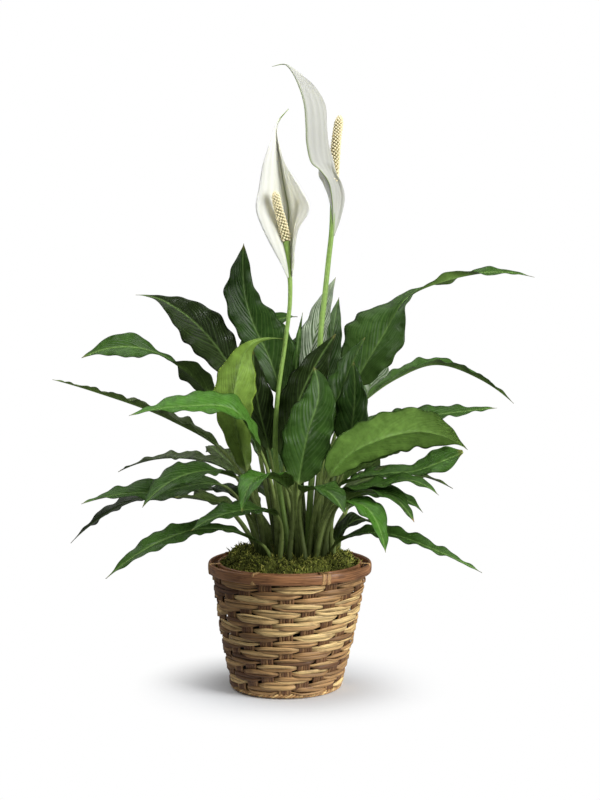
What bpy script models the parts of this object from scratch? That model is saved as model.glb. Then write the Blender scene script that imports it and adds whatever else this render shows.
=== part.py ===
"""A potted peace lily: a leafy clump with two flowers, in a grow pot hidden in a woven cane basket.

Metres, +Z up. The origin is the centre of the basket's flat underside, and the front of the plant faces -Y.
"""

import math

import bpy
import numpy as np

MM = 0.001
GAP = 0.3  # clearance between touching pieces, in millimetres like every size below

# The basket
BASKET_HEIGHT = 127
RIM_RADIUS = 82
BASE_RADIUS = 56
BASE_THICKNESS = 4
WALL_THICKNESS = 5
HOOP_HEIGHT = 11
HOOP_THICKNESS = 4
INNER_HOOP_THICKNESS = 3
HOOP_CHAMFER = 2
BASKET_STEPS = 48

# The grow pot that the basket hides, and what it holds
POT_TOP = 113
POT_TOP_RADIUS = 66
POT_FOOT_RADIUS = 46
POT_WALL = 1.2
POT_LIP = 1.5
POT_LIP_HEIGHT = 4
POT_STEPS = 36
SOIL_TOP = 108
CROWN_TOP = 117
CROWN_RADIUS = 41
CROWN_CENTRE = (8, 0)
CROWN_CHAMFER = 3
MOSS_TOP = 142
MOSS_STEPS = 40
MOSS_LUMPS = (2, 1.5)

# The leaves
LEAF_THICKNESS = 1.2
STALK_RADIUS_AT_KNEE = 1.7
STALK_RADIUS_AT_FOOT = 2.6
STALK_RINGS = 6
BLADE_RINGS = 11
LEAF_FOLD = 16
LEAF_BASE = 0.7
LEAF_POINT = 1.05
FOOT_LIFT = 0.8
STALK_RISE = 400
BLADE_OPENS = 0.1
BLADE_BELLY = 0.45
BLADE_ARCH = 1.6
THINNEST_BLADE = 0.6

# Each leaf: name, foot on the crown (bearing in degrees, radius), blade width, the blade's roll in degrees
# at each point of its midrib, and the midrib from the knee, where the blade starts, to the tip. Bearings
# turn from +X towards +Y. A blade bears from its foot to its tip unless its options state a bearing; they
# may also state its fold, and the powers that shape its base and its point.
LEAVES = (
    ("left_leaf_01", (162, 19), 50, (-60, -66, -66, -60, -50),
     [(-49, 18, 301), (-85, 34, 353), (-114, 46, 377), (-136, 54, 388), (-158, 60, 391)], {"point": 1.5}),
    ("left_leaf_02", (207, 28), 44, (10, 0, 20, 60),
     [(-42, -25, 219), (-52, -36, 306), (-38, -30, 345), (-4, -22, 349)], {"bearing": 270}),
    ("left_leaf_03", (140, 10), 50, (0, 0, 5, 10, 15, 20),
     [(-8, 20, 290), (-21, 26, 330), (-36, 32, 361), (-45, 34, 392), (-47, 34, 417),
      (-46, 32, 443)], {"bearing": 100}),
    ("left_leaf_04", (134, 28), 34, (0, 0, 0),
     [(-35, 60, 284), (-26, 74, 357), (8, 80, 368)], {"bearing": 90}),
    ("left_leaf_05", (228, 28), 33, (-30, -40, -30, -10),
     [(-27, -44, 240), (-52, -60, 283), (-98, -82, 289), (-149, -100, 282)]),
    ("left_leaf_06", (186, 29), 30, (40, 40, 0, -60, -50),
     [(-76, 4, 290), (-99, 0, 314), (-122, -6, 331), (-158, -20, 342),
      (-201, -36, 332)], {"base": 0.9, "point": 0.85}),
    ("left_leaf_07", (168, 28), 20, (-20, 0, 20, 0),
     [(-70, 34, 235), (-123, 60, 263), (-202, 94, 288), (-253, 118, 300)], {"fold": 40}),
    ("left_leaf_08", (163, 37), 26, (0, -12, -12),
     [(-58, 34, 210), (-120, 80, 221), (-185, 124, 200)]),
    ("left_leaf_09", (146, 37), 36, (0, 0, 0),
     [(-48, 44, 204), (-72, 92, 221), (-88, 140, 227)]),
    ("left_leaf_10", (214, 37), 34, (0, -25, -20),
     [(-51, -42, 216), (-102, -88, 223), (-135, -122, 199)]),
    ("left_leaf_11", (188, 37), 32, (-20, -40, -20, 0),
     [(-64, -12, 203), (-130, -44, 202), (-164, -62, 202), (-197, -80, 196)]),
    ("left_leaf_12", (175, 36), 32, (0, -20, -30, 0),
     [(-85, 16, 193), (-154, 44, 183), (-205, 62, 154), (-229, 70, 132)]),
    ("left_leaf_13", (201, 37), 30, (0, -20, 0),
     [(-39, -18, 175), (-75, -46, 193), (-109, -70, 201)]),
    ("left_leaf_14", (241, 37), 30, (0, -20, -10),
     [(-11, -46, 178), (-51, -84, 189), (-91, -116, 176)]),
    ("left_leaf_15", (227, 34), 24, (0, -20, -30, -35, -20),
     [(-28, -37, 148), (-50, -48, 162), (-87, -68, 169), (-134, -106, 157), (-169, -126, 133)],
     {"point": 0.8}),
    ("left_leaf_16", (180, 13), 34, (0, 0, 0),
     [(-20, 6, 235), (-32, 8, 287), (-36, 4, 337)], {"bearing": 120}),
    ("left_leaf_17", (112, 29), 34, (0, 0, 0),
     [(-12, 40, 175), (-40, 84, 194), (-62, 116, 196)]),
    ("centre_leaf_01", (272, 28), 50, (0, 0, 0, 0),
     [(9, -30, 206), (19, -30, 261), (29, -22, 297), (24, -14, 322)], {"bearing": 90}),
    ("centre_leaf_02", (283, 37), 34, (0, 0, 0),
     [(13, -46, 202), (37, -84, 208), (52, -112, 191)]),
    ("centre_leaf_03", (256, 37), 36, (0, 0, 0),
     [(-1, -48, 206), (-31, -92, 222), (-43, -124, 195)]),
    ("centre_leaf_04", (72, 19), 30, (0, 0, 0),
     [(15, 32, 284), (27, 50, 356), (47, 56, 409)], {"bearing": 80}),
    ("centre_leaf_05", (58, 28), 26, (0, 0, 0),
     [(37, 60, 282), (43, 76, 340), (51, 84, 388)], {"bearing": 80}),
    ("centre_leaf_06", (60, 12), 7, (0, 0, 0),
     [(5, 14, 303), (8, 16, 337), (13, 18, 374)], {"bearing": 80}),
    ("centre_leaf_07", (300, 10), 44, (0, 0, 0),
     [(-5, 6, 226), (10, 8, 288), (46, 10, 353)], {"bearing": 100}),
    ("centre_leaf_08", (326, 19), 38, (0, 0, 0),
     [(57, -17, 237), (64, -18, 287), (63, -14, 327)], {"bearing": 60}),
    ("centre_leaf_09", (90, 28), 44, (0, 0, 0),
     [(6, 70, 272), (8, 84, 323), (15, 98, 353)], {"bearing": 90}),
    ("centre_leaf_10", (2, 19), 38, (0, 0, 0),
     [(40, 2, 260), (56, 4, 308), (75, 6, 350)], {"bearing": 50}),
    ("right_leaf_01", (34, 19), 60, (64, 62, 10, -20, 10, 0),
     [(63, 26, 296), (92, 30, 347), (122, 40, 391), (163, 50, 407),
      (205, 62, 414), (253, 76, 409)], {"base": 0.6, "point": 1.5}),
    ("right_leaf_02", (26, 29), 22, (10, 10, 10, 10, 0),
     [(76, 48, 283), (112, 70, 306), (152, 92, 318), (200, 112, 302), (239, 122, 274)], {"fold": 35}),
    ("right_leaf_03", (46, 36), 34, (0, 0, 0),
     [(78, 76, 285), (91, 104, 305), (102, 128, 323)], {"bearing": 60}),
    ("right_leaf_04", (2, 29), 32, (0, 15, 25, 20),
     [(60, 16, 256), (107, 38, 264), (165, 62, 269), (216, 80, 273)]),
    ("right_leaf_05", (300, 21), 44, (-60, -60, -60, -60, -40),
     [(38, -32, 214), (54, -44, 236), (77, -58, 251), (135, -84, 264),
      (167, -100, 252)], {"base": 0.9, "point": 0.8}),
    ("right_leaf_06", (350, 29), 32, (-30, -30, -30),
     [(52, -4, 206), (94, -20, 237), (143, -36, 255)]),
    ("right_leaf_07", (328, 29), 32, (0, 20, 30, 60, 60),
     [(46, -28, 205), (94, -44, 220), (122, -54, 224), (148, -62, 235),
      (166, -68, 244)], {"base": 1, "point": 0.8}),
    ("right_leaf_08", (316, 28), 28, (0, 20, 20, 10),
     [(44, -40, 196), (91, -78, 214), (114, -92, 220), (140, -106, 208)]),
    ("right_leaf_09", (5, 37), 28, (0, 20, 10),
     [(47, 6, 187), (107, 30, 210), (168, 52, 192)]),
    ("right_leaf_10", (311, 37), 30, (0, 10, 10),
     [(49, -42, 190), (91, -82, 207), (117, -108, 183)]),
    ("right_leaf_11", (339, 37), 28, (0, 20, 10),
     [(48, -16, 184), (100, -40, 199), (129, -56, 184)]),
    ("right_leaf_12", (297, 37), 28, (0, 10, 0),
     [(47, -60, 193), (73, -92, 194), (90, -118, 156)]),
    ("right_leaf_13", (325, 37), 24, (0, 20, 15, 10, 0),
     [(43, -26, 145), (73, -50, 163), (106, -72, 163), (135, -92, 155), (179, -122, 138)]),
    ("right_leaf_14", (352, 37), 26, (0, 10, 0),
     [(46, -7, 146), (67, 7, 166), (90, 21, 157)]),
    ("rear_leaf_01", (105, 37), 48, (0, 0, 0),
     [(-10, 58, 204), (-24, 114, 236), (-36, 170, 212)]),
    ("rear_leaf_02", (68, 37), 46, (0, 0, 0),
     [(38, 56, 190), (70, 112, 220), (96, 160, 186)]),
    ("rear_leaf_03", (130, 37), 44, (0, 0, 0),
     [(-34, 50, 170), (-80, 93, 185), (-104, 120, 175)]),
    ("rear_leaf_04", (26, 38), 42, (0, 0, 0),
     [(58, 34, 172), (98, 70, 206), (122, 102, 198)]),
)

# Each flower: its stalk from the crown up, and its spathe, the one white bract, with its midrib from foot to
# tip, its width, the powers that shape its foot and its point, how far it folds, and where it bears. The
# spadix is the spike that stands before it.
FLOWERS = {
    "left": {
        "stalk": [(0, -10, CROWN_TOP + FOOT_LIFT), (-14, -12, 248), (-12, -12, 288), (-3, -11, 348),
                  (3, -11, 387), (2, -12, 413.5)],
        "spathe": [(2, -10.5, 414), (-1, -13, 475), (-7, -12, 519), (-12, -8, 553), (-2, -4, 574)],
        "width": 56, "powers": (1.7, 2.5), "fold": 15, "bearing": 90,
        "spadix": [(2, -13.2, 414), (-6, -28, 448), (-17, -34, 491)],
    },
    "right": {
        "stalk": [(18, 6, CROWN_TOP + FOOT_LIFT), (30, 24, 317), (31, 24, 357), (39, 26, 412), (44, 28, 451),
                  (44, 30, 472.5)],
        "spathe": [(42.9, 29, 473), (39, 22, 494), (28, 16, 515), (17, 12, 544), (14, 8, 573), (6, 8, 599),
                   (-17, 8, 616)],
        "width": 46, "powers": (0.7, 0.75), "fold": 40, "bearing": 224,
        "spadix": [(45.5, 31.5, 473), (49, 42, 519), (54, 45, 569)],
    },
}
FLOWER_STALK_RADII = (3.2, 2.0)
SPATHE_THICKNESS = 1.2
SPADIX_RADIUS = 4.4
STIPE_RADIUS = 1.6
FLOWER_RINGS = 14
SPADIX_RINGS = 10
THINNEST_SPATHE = 0.8

COLOURS = {
    "cane": (0.62, 0.43, 0.22),
    "cane_rim": (0.34, 0.17, 0.08),
    "pot_plastic": (0.03, 0.03, 0.03),
    "soil": (0.05, 0.035, 0.025),
    "moss": (0.12, 0.16, 0.03),
    "crown": (0.25, 0.3, 0.12),
    "leaf": (0.03, 0.1, 0.02),
    "flower_stalk": (0.15, 0.3, 0.06),
    "spathe": (0.85, 0.87, 0.8),
    "spadix": (0.85, 0.78, 0.5),
}


def clear_scene():
    for obj in list(bpy.data.objects):
        bpy.data.objects.remove(obj)


def new_material(name, roughness):
    """A Principled material in the named colour."""
    material = bpy.data.materials.new(name)
    material.use_nodes = True
    shader = material.node_tree.nodes["Principled BSDF"]
    shader.inputs["Base Color"].default_value = (*COLOURS[name], 1)
    shader.inputs["Roughness"].default_value = roughness
    shader.inputs["Metallic"].default_value = 0
    material.diffuse_color = (*COLOURS[name], 1)
    return material


def add_object(name, data, collection, material):
    obj = bpy.data.objects.new(name, data)
    obj.data.materials.append(material)
    collection.objects.link(obj)
    return obj


def turned(name, profile, steps, collection, material, location=(0, 0, 0)):
    """A solid turned about Z: the profile's points (radius, height) run down its outer side and round."""
    mesh = bpy.data.meshes.new(name)
    closed = profile[0][0] > 0 and profile[-1][0] > 0
    count = len(profile)
    edges = [(i, (i + 1) % count) for i in range(count if closed else count - 1)]
    mesh.from_pydata([(r * MM, 0, z * MM) for r, z in profile], edges, [])
    obj = add_object(name, mesh, collection, material)
    obj.location = [value * MM for value in location]
    screw = obj.modifiers.new("turn", "SCREW")
    screw.steps = steps
    screw.render_steps = steps
    screw.use_merge_vertices = True
    screw.merge_threshold = 1e-5
    screw.use_smooth_shade = True
    return obj


def curve_through(points, start, samples):
    """Places and directions along a smooth curve through the points, which leaves the first one along start.

    Each stretch is a Hermite cubic, with tangents from the chords either side. samples are the wanted
    positions, counted in stretches from 0 to the number of points less 1.
    """
    points = np.array(points, float)
    chords = np.diff(points, axis=0)
    lengths = np.linalg.norm(chords, axis=1)
    slopes = chords / lengths[:, None]
    tangents = np.empty_like(points)
    tangents[0] = slopes[0] if start is None else np.array(start, float)
    tangents[-1] = slopes[-1] if len(slopes) == 1 else 1.5 * slopes[-1] - 0.5 * slopes[-2]
    share = (lengths[:-1] / (lengths[:-1] + lengths[1:]))[:, None]
    tangents[1:-1] = slopes[:-1] * (1 - share) + slopes[1:] * share
    samples = np.array(samples, float)
    stretch = np.minimum(samples.astype(int), len(lengths) - 1)
    t = (samples - stretch)[:, None]
    size = lengths[stretch][:, None]
    a, b = points[stretch], points[stretch + 1]
    ta, tb = tangents[stretch] * size, tangents[stretch + 1] * size
    places = (2 * t**3 - 3 * t**2 + 1) * a + (t**3 - 2 * t**2 + t) * ta
    places += (3 * t**2 - 2 * t**3) * b + (t**3 - t**2) * tb
    ways = (6 * t**2 - 6 * t) * (a - b) + (3 * t**2 - 4 * t + 1) * ta + (3 * t**2 - 2 * t) * tb
    return places, ways / np.linalg.norm(ways, axis=1)[:, None]


def even_samples(points, start, first, last, count):
    """count positions between two of the curve's points, evenly spaced along its length."""
    fine = np.linspace(first, last, 200)
    places, _ = curve_through(points, start, fine)
    walked = np.concatenate([[0], np.cumsum(np.linalg.norm(np.diff(places, axis=0), axis=1))])
    return np.interp(np.linspace(0, walked[-1], count), walked, fine)


def frames_along(ways, bearing, rolls):
    """Side and face directions at each ring: level and square to the bearing, then rolled about the curve."""
    angle = math.radians(bearing)
    level = np.array([-math.sin(angle), math.cos(angle), 0])
    sides = level - (ways @ level)[:, None] * ways
    sides /= np.linalg.norm(sides, axis=1)[:, None]
    faces = np.cross(ways, sides)
    roll = np.radians(rolls)[:, None]
    return np.cos(roll) * sides + np.sin(roll) * faces, np.cos(roll) * faces - np.sin(roll) * sides


def smooth_step(x):
    x = np.clip(x, 0, 1)
    return x * x * (3 - 2 * x)


def roll_at(rolls, stretch):
    """The roll along a blade, easing from each midrib point's value to the next one's."""
    whole = np.clip(np.floor(stretch), 0, len(rolls) - 2).astype(int)
    rolls = np.array(rolls, float)
    return rolls[whole] + (rolls[whole + 1] - rolls[whole]) * smooth_step(stretch - whole)


def blade_width(t, width, base_power, tip_power):
    """Half the width along a blade: a high base_power moves the widest place out, a high tip_power draws
    the point out."""
    peak = base_power / (base_power + tip_power)
    shape = np.clip(t, 0, 1) ** base_power * np.clip(1 - t, 0, 1) ** tip_power
    return width / 2 * shape / (peak**base_power * (1 - peak) ** tip_power)


# A ring runs round its section: across the upper face from one margin to the other, and back underneath
RING_ACROSS = np.array([-1, -0.5, 0, 0.5, 1, 0.5, 0, -0.5])
RING_FACE = np.array([0, 1, 1, 1, 0, -1, -1, -1])
RING_TURN = np.radians([180, 135, 90, 45, 0, -45, -90, -135])


def leaf_section(t, half_width, fold, thickness, radius):
    """One ring of a leaf: round where it is still stalk, then a folded blade whose halves arch over."""
    blade = smooth_step(t / BLADE_OPENS)
    angle = math.radians(fold)
    across = RING_ACROSS * half_width * math.cos(angle)
    rise = np.abs(RING_ACROSS) - BLADE_BELLY * RING_ACROSS**2
    height = half_width * math.sin(angle) * rise * BLADE_ARCH + RING_FACE * thickness / 2
    x = (1 - blade) * radius * np.cos(RING_TURN) + blade * across
    y = (1 - blade) * radius * np.sin(RING_TURN) + blade * height
    return x, y


def loft(name, rings, collection, material):
    """A closed body through rings of equal count, each turning anticlockwise seen from ahead.

    The second half of a ring is the underside. Its four-sided faces are cut along the same diagonals as
    those above them, so that the two sides of a thin, twisted blade stay parallel.
    """
    rings = np.asarray(rings) * MM
    count, size, _ = rings.shape
    faces = []
    for i in range(count - 1):
        for j in range(size):
            k = (j + 1) % size
            a, b, c, d = i * size + j, (i + 1) * size + j, (i + 1) * size + k, i * size + k
            if j < size // 2:
                faces += [(a, b, c), (a, c, d)]
            else:
                faces += [(a, b, d), (b, c, d)]
    faces.append(tuple(range(size)))
    faces.append(tuple((count - 1) * size + j for j in reversed(range(size))))
    mesh = bpy.data.meshes.new(name)
    mesh.from_pydata(rings.reshape(-1, 3).tolist(), [], faces)
    mesh.shade_smooth()
    return add_object(name, mesh, collection, material)


def on_crown(bearing, radius):
    angle = math.radians(bearing)
    x, y = CROWN_CENTRE
    return (x + radius * math.cos(angle), y + radius * math.sin(angle), CROWN_TOP + FOOT_LIFT)


def make_leaf(collection, material, name, foot, width, rolls, midrib, options=None):
    """A leaf grown as one piece: a round stalk that rises from the crown and opens into a folded blade."""
    options = options or {}
    points = [on_crown(*foot), *midrib]
    lean = np.array(points[1]) - np.array(points[0])
    start = (lean[0] / STALK_RISE, lean[1] / STALK_RISE, 1)
    stalk = even_samples(points, start, 0, 1, STALK_RINGS)[:-1]
    blade = even_samples(points, start, 1, len(points) - 1, BLADE_RINGS)
    places, ways = curve_through(points, start, np.concatenate([stalk, blade]))
    t = np.concatenate([np.zeros(len(stalk)), np.linspace(0, 1, BLADE_RINGS)])
    run = np.array(points[-1]) - np.array(points[0])
    bearing = options.get("bearing", math.degrees(math.atan2(run[1], run[0])))
    on_blade = np.concatenate([np.zeros(len(stalk)), blade - 1])
    sides, tops = frames_along(ways, bearing, roll_at(rolls, on_blade))
    widths = blade_width(t, width, options.get("base", LEAF_BASE), options.get("point", LEAF_POINT))
    along_stalk = np.clip(np.arange(len(t)) / len(stalk), 0, 1)
    radii = STALK_RADIUS_AT_FOOT + (STALK_RADIUS_AT_KNEE - STALK_RADIUS_AT_FOOT) * along_stalk
    rings = []
    for i, place in enumerate(places):
        half = max(widths[i], THINNEST_BLADE)
        thickness = LEAF_THICKNESS * (1 - 0.5 * t[i])
        x, y = leaf_section(t[i], half, options.get("fold", LEAF_FOLD), thickness, radii[i])
        rings.append(place + x[:, None] * sides[i] + y[:, None] * tops[i])
    loft(name, rings, collection, material)


def make_flower(collection, materials, side, flower):
    """A stalk tube, the one bract behind the flower, and the knobbly spike in front of it."""
    tube = bpy.data.curves.new(f"{side}_flower_stalk", "CURVE")
    tube.dimensions = "3D"
    tube.bevel_depth = FLOWER_STALK_RADII[0] * MM
    tube.bevel_resolution = 2
    tube.use_fill_caps = True
    points = flower["stalk"]
    samples = even_samples(points, (0, 0, 1), 0, len(points) - 1, FLOWER_RINGS)
    places, _ = curve_through(points, (0, 0, 1), samples)
    spline = tube.splines.new("POLY")
    spline.points.add(len(places) - 1)
    taper = np.linspace(1, FLOWER_STALK_RADII[1] / FLOWER_STALK_RADII[0], len(places))
    for point, place, radius in zip(spline.points, places, taper):
        point.co = (*(place * MM), 1)
        point.radius = radius
    add_object(f"{side}_flower_stalk", tube, collection, materials["flower_stalk"])

    midrib = flower["spathe"]
    t = np.linspace(0, 1, FLOWER_RINGS)
    samples = even_samples(midrib, None, 0, len(midrib) - 1, len(t))
    places, ways = curve_through(midrib, None, samples)
    sides, tops = frames_along(ways, flower["bearing"], np.zeros(len(t)))
    widths = blade_width(t, flower["width"], *flower["powers"])
    fold = math.radians(flower["fold"])
    rings = []
    for i, place in enumerate(places):
        half = max(widths[i], THINNEST_SPATHE)
        across = RING_ACROSS * half * math.cos(fold)
        height = np.abs(RING_ACROSS) * half * math.sin(fold) + RING_FACE * SPATHE_THICKNESS / 2
        rings.append(place + across[:, None] * sides[i] + height[:, None] * tops[i])
    loft(f"{side}_spathe", rings, collection, materials["spathe"])

    midline = flower["spadix"]
    t = np.linspace(0, 1, SPADIX_RINGS)
    samples = even_samples(midline, None, 0, len(midline) - 1, len(t))
    places, ways = curve_through(midline, None, samples)
    sides, tops = frames_along(ways, 90, np.zeros(len(t)))
    turn = np.radians(-np.arange(0, 360, 45))
    rings = []
    for i, place in enumerate(places):
        swell = smooth_step((t[i] - 0.25) / 0.12)
        close = math.sqrt(max(1 - max((t[i] - 0.85) / 0.15, 0) ** 2, 0.04))
        radius = (STIPE_RADIUS + (SPADIX_RADIUS - STIPE_RADIUS) * swell) * close
        x, y = radius * np.cos(turn), radius * np.sin(turn)
        rings.append(place + x[:, None] * sides[i] + y[:, None] * tops[i])
    loft(f"{side}_spadix", rings, collection, materials["spadix"])


def make_basket(collection, materials):
    hoop_foot = BASKET_HEIGHT - HOOP_HEIGHT
    lip = RIM_RADIUS - HOOP_THICKNESS - GAP
    wall_top = BASKET_HEIGHT - HOOP_CHAMFER
    turned("basket_wall", [
        (lip, wall_top), (lip, hoop_foot), (BASE_RADIUS, 0),
        (BASE_RADIUS - WALL_THICKNESS, 0), (lip - WALL_THICKNESS, hoop_foot),
        (lip - WALL_THICKNESS, wall_top),
    ], BASKET_STEPS, collection, materials["cane"])
    turned("basket_base", [
        (0, BASE_THICKNESS), (BASE_RADIUS - WALL_THICKNESS - GAP, BASE_THICKNESS),
        (BASE_RADIUS - WALL_THICKNESS - GAP, 0), (0, 0),
    ], BASKET_STEPS, collection, materials["cane"])
    turned("rim_hoop_outer", [
        (RIM_RADIUS - HOOP_CHAMFER / 2, BASKET_HEIGHT), (RIM_RADIUS, BASKET_HEIGHT - HOOP_CHAMFER),
        (RIM_RADIUS, hoop_foot + HOOP_CHAMFER / 2), (RIM_RADIUS - HOOP_CHAMFER / 2, hoop_foot),
        (RIM_RADIUS - HOOP_THICKNESS, hoop_foot), (RIM_RADIUS - HOOP_THICKNESS, BASKET_HEIGHT),
    ], BASKET_STEPS, collection, materials["cane_rim"])
    inner = lip - WALL_THICKNESS - GAP
    turned("rim_hoop_inner", [
        (inner, BASKET_HEIGHT), (inner, hoop_foot), (inner - INNER_HOOP_THICKNESS, hoop_foot),
        (inner - INNER_HOOP_THICKNESS, BASKET_HEIGHT),
    ], BASKET_STEPS, collection, materials["cane_rim"])


def make_pot(collection, materials):
    """The thin grow pot with a rolled lip, standing on the basket's base, with its soil, crown and moss."""
    floor = BASE_THICKNESS + GAP
    slope = (POT_TOP_RADIUS - POT_FOOT_RADIUS) / (POT_TOP - floor)
    inside = POT_TOP_RADIUS - POT_WALL
    lip = POT_TOP_RADIUS + POT_LIP
    lip_foot = POT_LIP_HEIGHT + 1
    turned("grow_pot", [
        (lip, POT_TOP), (lip, POT_TOP - POT_LIP_HEIGHT),
        (POT_TOP_RADIUS - lip_foot * slope, POT_TOP - lip_foot),
        (POT_FOOT_RADIUS, floor), (0, floor), (0, floor + POT_WALL),
        (POT_FOOT_RADIUS - POT_WALL, floor + POT_WALL), (inside, POT_TOP),
    ], POT_STEPS, collection, materials["pot_plastic"])
    soil_foot = floor + POT_WALL + GAP
    soil_radius = POT_FOOT_RADIUS - POT_WALL - GAP
    turned("potting_soil", [
        (0, SOIL_TOP), (soil_radius + slope * (SOIL_TOP - soil_foot), SOIL_TOP),
        (soil_radius, soil_foot), (0, soil_foot),
    ], POT_STEPS, collection, materials["soil"])
    x, y = CROWN_CENTRE
    crown_foot = SOIL_TOP + GAP
    turned("root_crown", [
        (0, CROWN_TOP), (CROWN_RADIUS - CROWN_CHAMFER, CROWN_TOP),
        (CROWN_RADIUS, CROWN_TOP - CROWN_CHAMFER), (CROWN_RADIUS, crown_foot), (0, crown_foot),
    ], POT_STEPS, collection, materials["crown"], (x, y, 0))


def make_moss(collection, material):
    """A mound of moss round the clump: its inner edge follows the crown, its outer edge the basket's rim."""
    foot = POT_TOP + 2 * GAP
    outer = RIM_RADIUS - HOOP_THICKNESS - WALL_THICKNESS - INNER_HOOP_THICKNESS - 4 * GAP
    rings = []
    for turn in np.linspace(0, 2 * math.pi, MOSS_STEPS, endpoint=False):
        way = np.array([math.cos(turn), math.sin(turn), 0])
        lumps = MOSS_LUMPS[0] * math.sin(5 * turn + 1) + MOSS_LUMPS[1] * math.sin(8 * turn)
        hole = np.array([*CROWN_CENTRE, 0]) + way * (CROWN_RADIUS + 1.5)
        rim = way * outer
        crest = hole * 0.45 + rim * 0.55
        up = np.array([0, 0, 1.0])
        rings.append([
            hole + up * foot, hole + up * (MOSS_TOP - 12), crest + up * (MOSS_TOP - 4 + lumps),
            rim + up * (MOSS_TOP - 16 + lumps), rim + up * foot,
        ])
    rings = np.array(rings) * MM
    count, size, _ = rings.shape
    faces = []
    for i in range(count):
        for j in range(size):
            n, k = (i + 1) % count, (j + 1) % size
            faces.append((i * size + j, i * size + k, n * size + k, n * size + j))
    mesh = bpy.data.meshes.new("moss")
    mesh.from_pydata(rings.reshape(-1, 3).tolist(), [], faces)
    mesh.shade_smooth()
    add_object("moss", mesh, collection, material)


def main():
    clear_scene()
    collection = bpy.data.collections.new("potted_peace_lily")
    bpy.context.scene.collection.children.link(collection)
    glossy = {"leaf": 0.35, "pot_plastic": 0.4, "spathe": 0.5, "flower_stalk": 0.45}
    materials = {name: new_material(name, glossy.get(name, 0.7)) for name in COLOURS}
    make_basket(collection, materials)
    make_pot(collection, materials)
    make_moss(collection, materials["moss"])
    for side, flower in FLOWERS.items():
        make_flower(collection, materials, side, flower)
    for leaf in LEAVES:
        make_leaf(collection, materials["leaf"], *leaf)


main()
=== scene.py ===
"""The fine surfaces and finishes of a potted peace lily in a woven cane basket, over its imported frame.

Metres in the scene, millimetres in the tables and in the shape functions, +Z up, the front facing -Y.
"""

import math

import bpy
import numpy as np
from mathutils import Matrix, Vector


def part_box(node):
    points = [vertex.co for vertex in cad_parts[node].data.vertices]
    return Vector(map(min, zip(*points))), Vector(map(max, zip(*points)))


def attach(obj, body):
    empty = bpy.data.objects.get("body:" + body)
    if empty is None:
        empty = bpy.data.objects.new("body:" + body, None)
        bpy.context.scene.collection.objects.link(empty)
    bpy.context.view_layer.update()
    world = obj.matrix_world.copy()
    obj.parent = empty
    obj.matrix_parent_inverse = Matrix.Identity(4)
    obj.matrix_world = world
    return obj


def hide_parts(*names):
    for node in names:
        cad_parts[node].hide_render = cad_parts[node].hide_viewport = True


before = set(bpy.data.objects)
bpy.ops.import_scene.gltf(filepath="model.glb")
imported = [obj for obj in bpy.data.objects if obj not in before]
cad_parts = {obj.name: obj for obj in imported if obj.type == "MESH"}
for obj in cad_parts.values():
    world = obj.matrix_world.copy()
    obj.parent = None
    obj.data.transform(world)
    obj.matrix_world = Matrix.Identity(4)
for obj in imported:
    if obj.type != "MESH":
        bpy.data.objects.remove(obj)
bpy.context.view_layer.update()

bl_info = {
    "name": "Potted Peace Lily",
    "version": (1, 0, 0),
    "blender": (4, 5, 0),
    "location": "View3D > Sidebar > Peace Lily",
    "description": "Leaves, flowers, moss and woven basket of a potted peace lily, with their finishes",
    "category": "Add Mesh",
}

MM = 0.001

# The crown that every stalk rises from: its middle and its top
CROWN_CENTRE = (8, 0)
CROWN_TOP = 117.8

# A leaf: the fold of its halves in degrees, the powers of its outline towards foot and tip, its stalk's
# radius at the foot and at the knee, the length of a margin's wave, how soon a half levels off and how far
# it rises, the midrib's groove above and its height and width below, the least half width, and its grid
LEAF_FOLD = 16
LEAF_BASE = 0.7
LEAF_POINT = 1.05
STALK_RADII = (3.6, 1.5)
RUFFLE_LENGTH = 31
BLADE_FALL = 0.45
BLADE_RISE = 1.6
MIDRIB_GROOVE = 0.3
MIDRIB_HEIGHT = 1.5
MIDRIB_WIDTH = 1.4
THINNEST_HALF = 0.35
STALK_ROWS, BLADE_ROWS, BLADE_COLUMNS = 16, 96, 25

# A flower: the rings of its spathe, the half width at which a half's belly is full, its veins to each side,
# where its green tip and the spadix's round end begin, and the turn from knob to knob
SPATHE_ROWS, SPATHE_COLUMNS = 110, 41
FULL_HALF = 22
SPATHE_VEINS = 4.5
GREEN_TIP = 0.84
SPADIX_SHOULDER = 0.86
GOLDEN_ANGLE = math.radians(137.508)

# The basket: its rim and foot, with how far the wall flares between them, the hoops' height, the room that
# the outer one takes and where the two stand, half the wall's thickness, its belly, the lean of the whole,
# where the first stake, row of weavers and tie are, the canes of a stake, the points round a cane, and the
# canes each way in the base
RIM_HEIGHT = round(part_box("rim_hoop_outer")[1].z / MM)
RIM_RADIUS = round(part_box("rim_hoop_outer")[1].x / MM)
WALL_FLARE = 22
BASE_RADIUS = round(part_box("basket_wall")[1].x / MM) - WALL_FLARE
HOOP_HEIGHT = 11
HOOP_SPACE = 4
OUTER_HOOP, INNER_HOOP = RIM_RADIUS - 1.9, RIM_RADIUS - 11.3
HALF_WALL = 3.2
WALL_BELLY = 1.2
LEAN = -3.5
FIRST_STAKE = math.radians(-91)
FIRST_ROW = 4.2
FIRST_TIE = math.radians(-115)
CANES = 5
CANE_COLUMNS = 8
BASE_CANES = 11

# The moss bank: its reach from the middle, its height and its flat underside
MOSS_REACH = 69.5
MOSS_LEVEL = 121
MOSS_UNDERSIDE = 113.6

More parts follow.
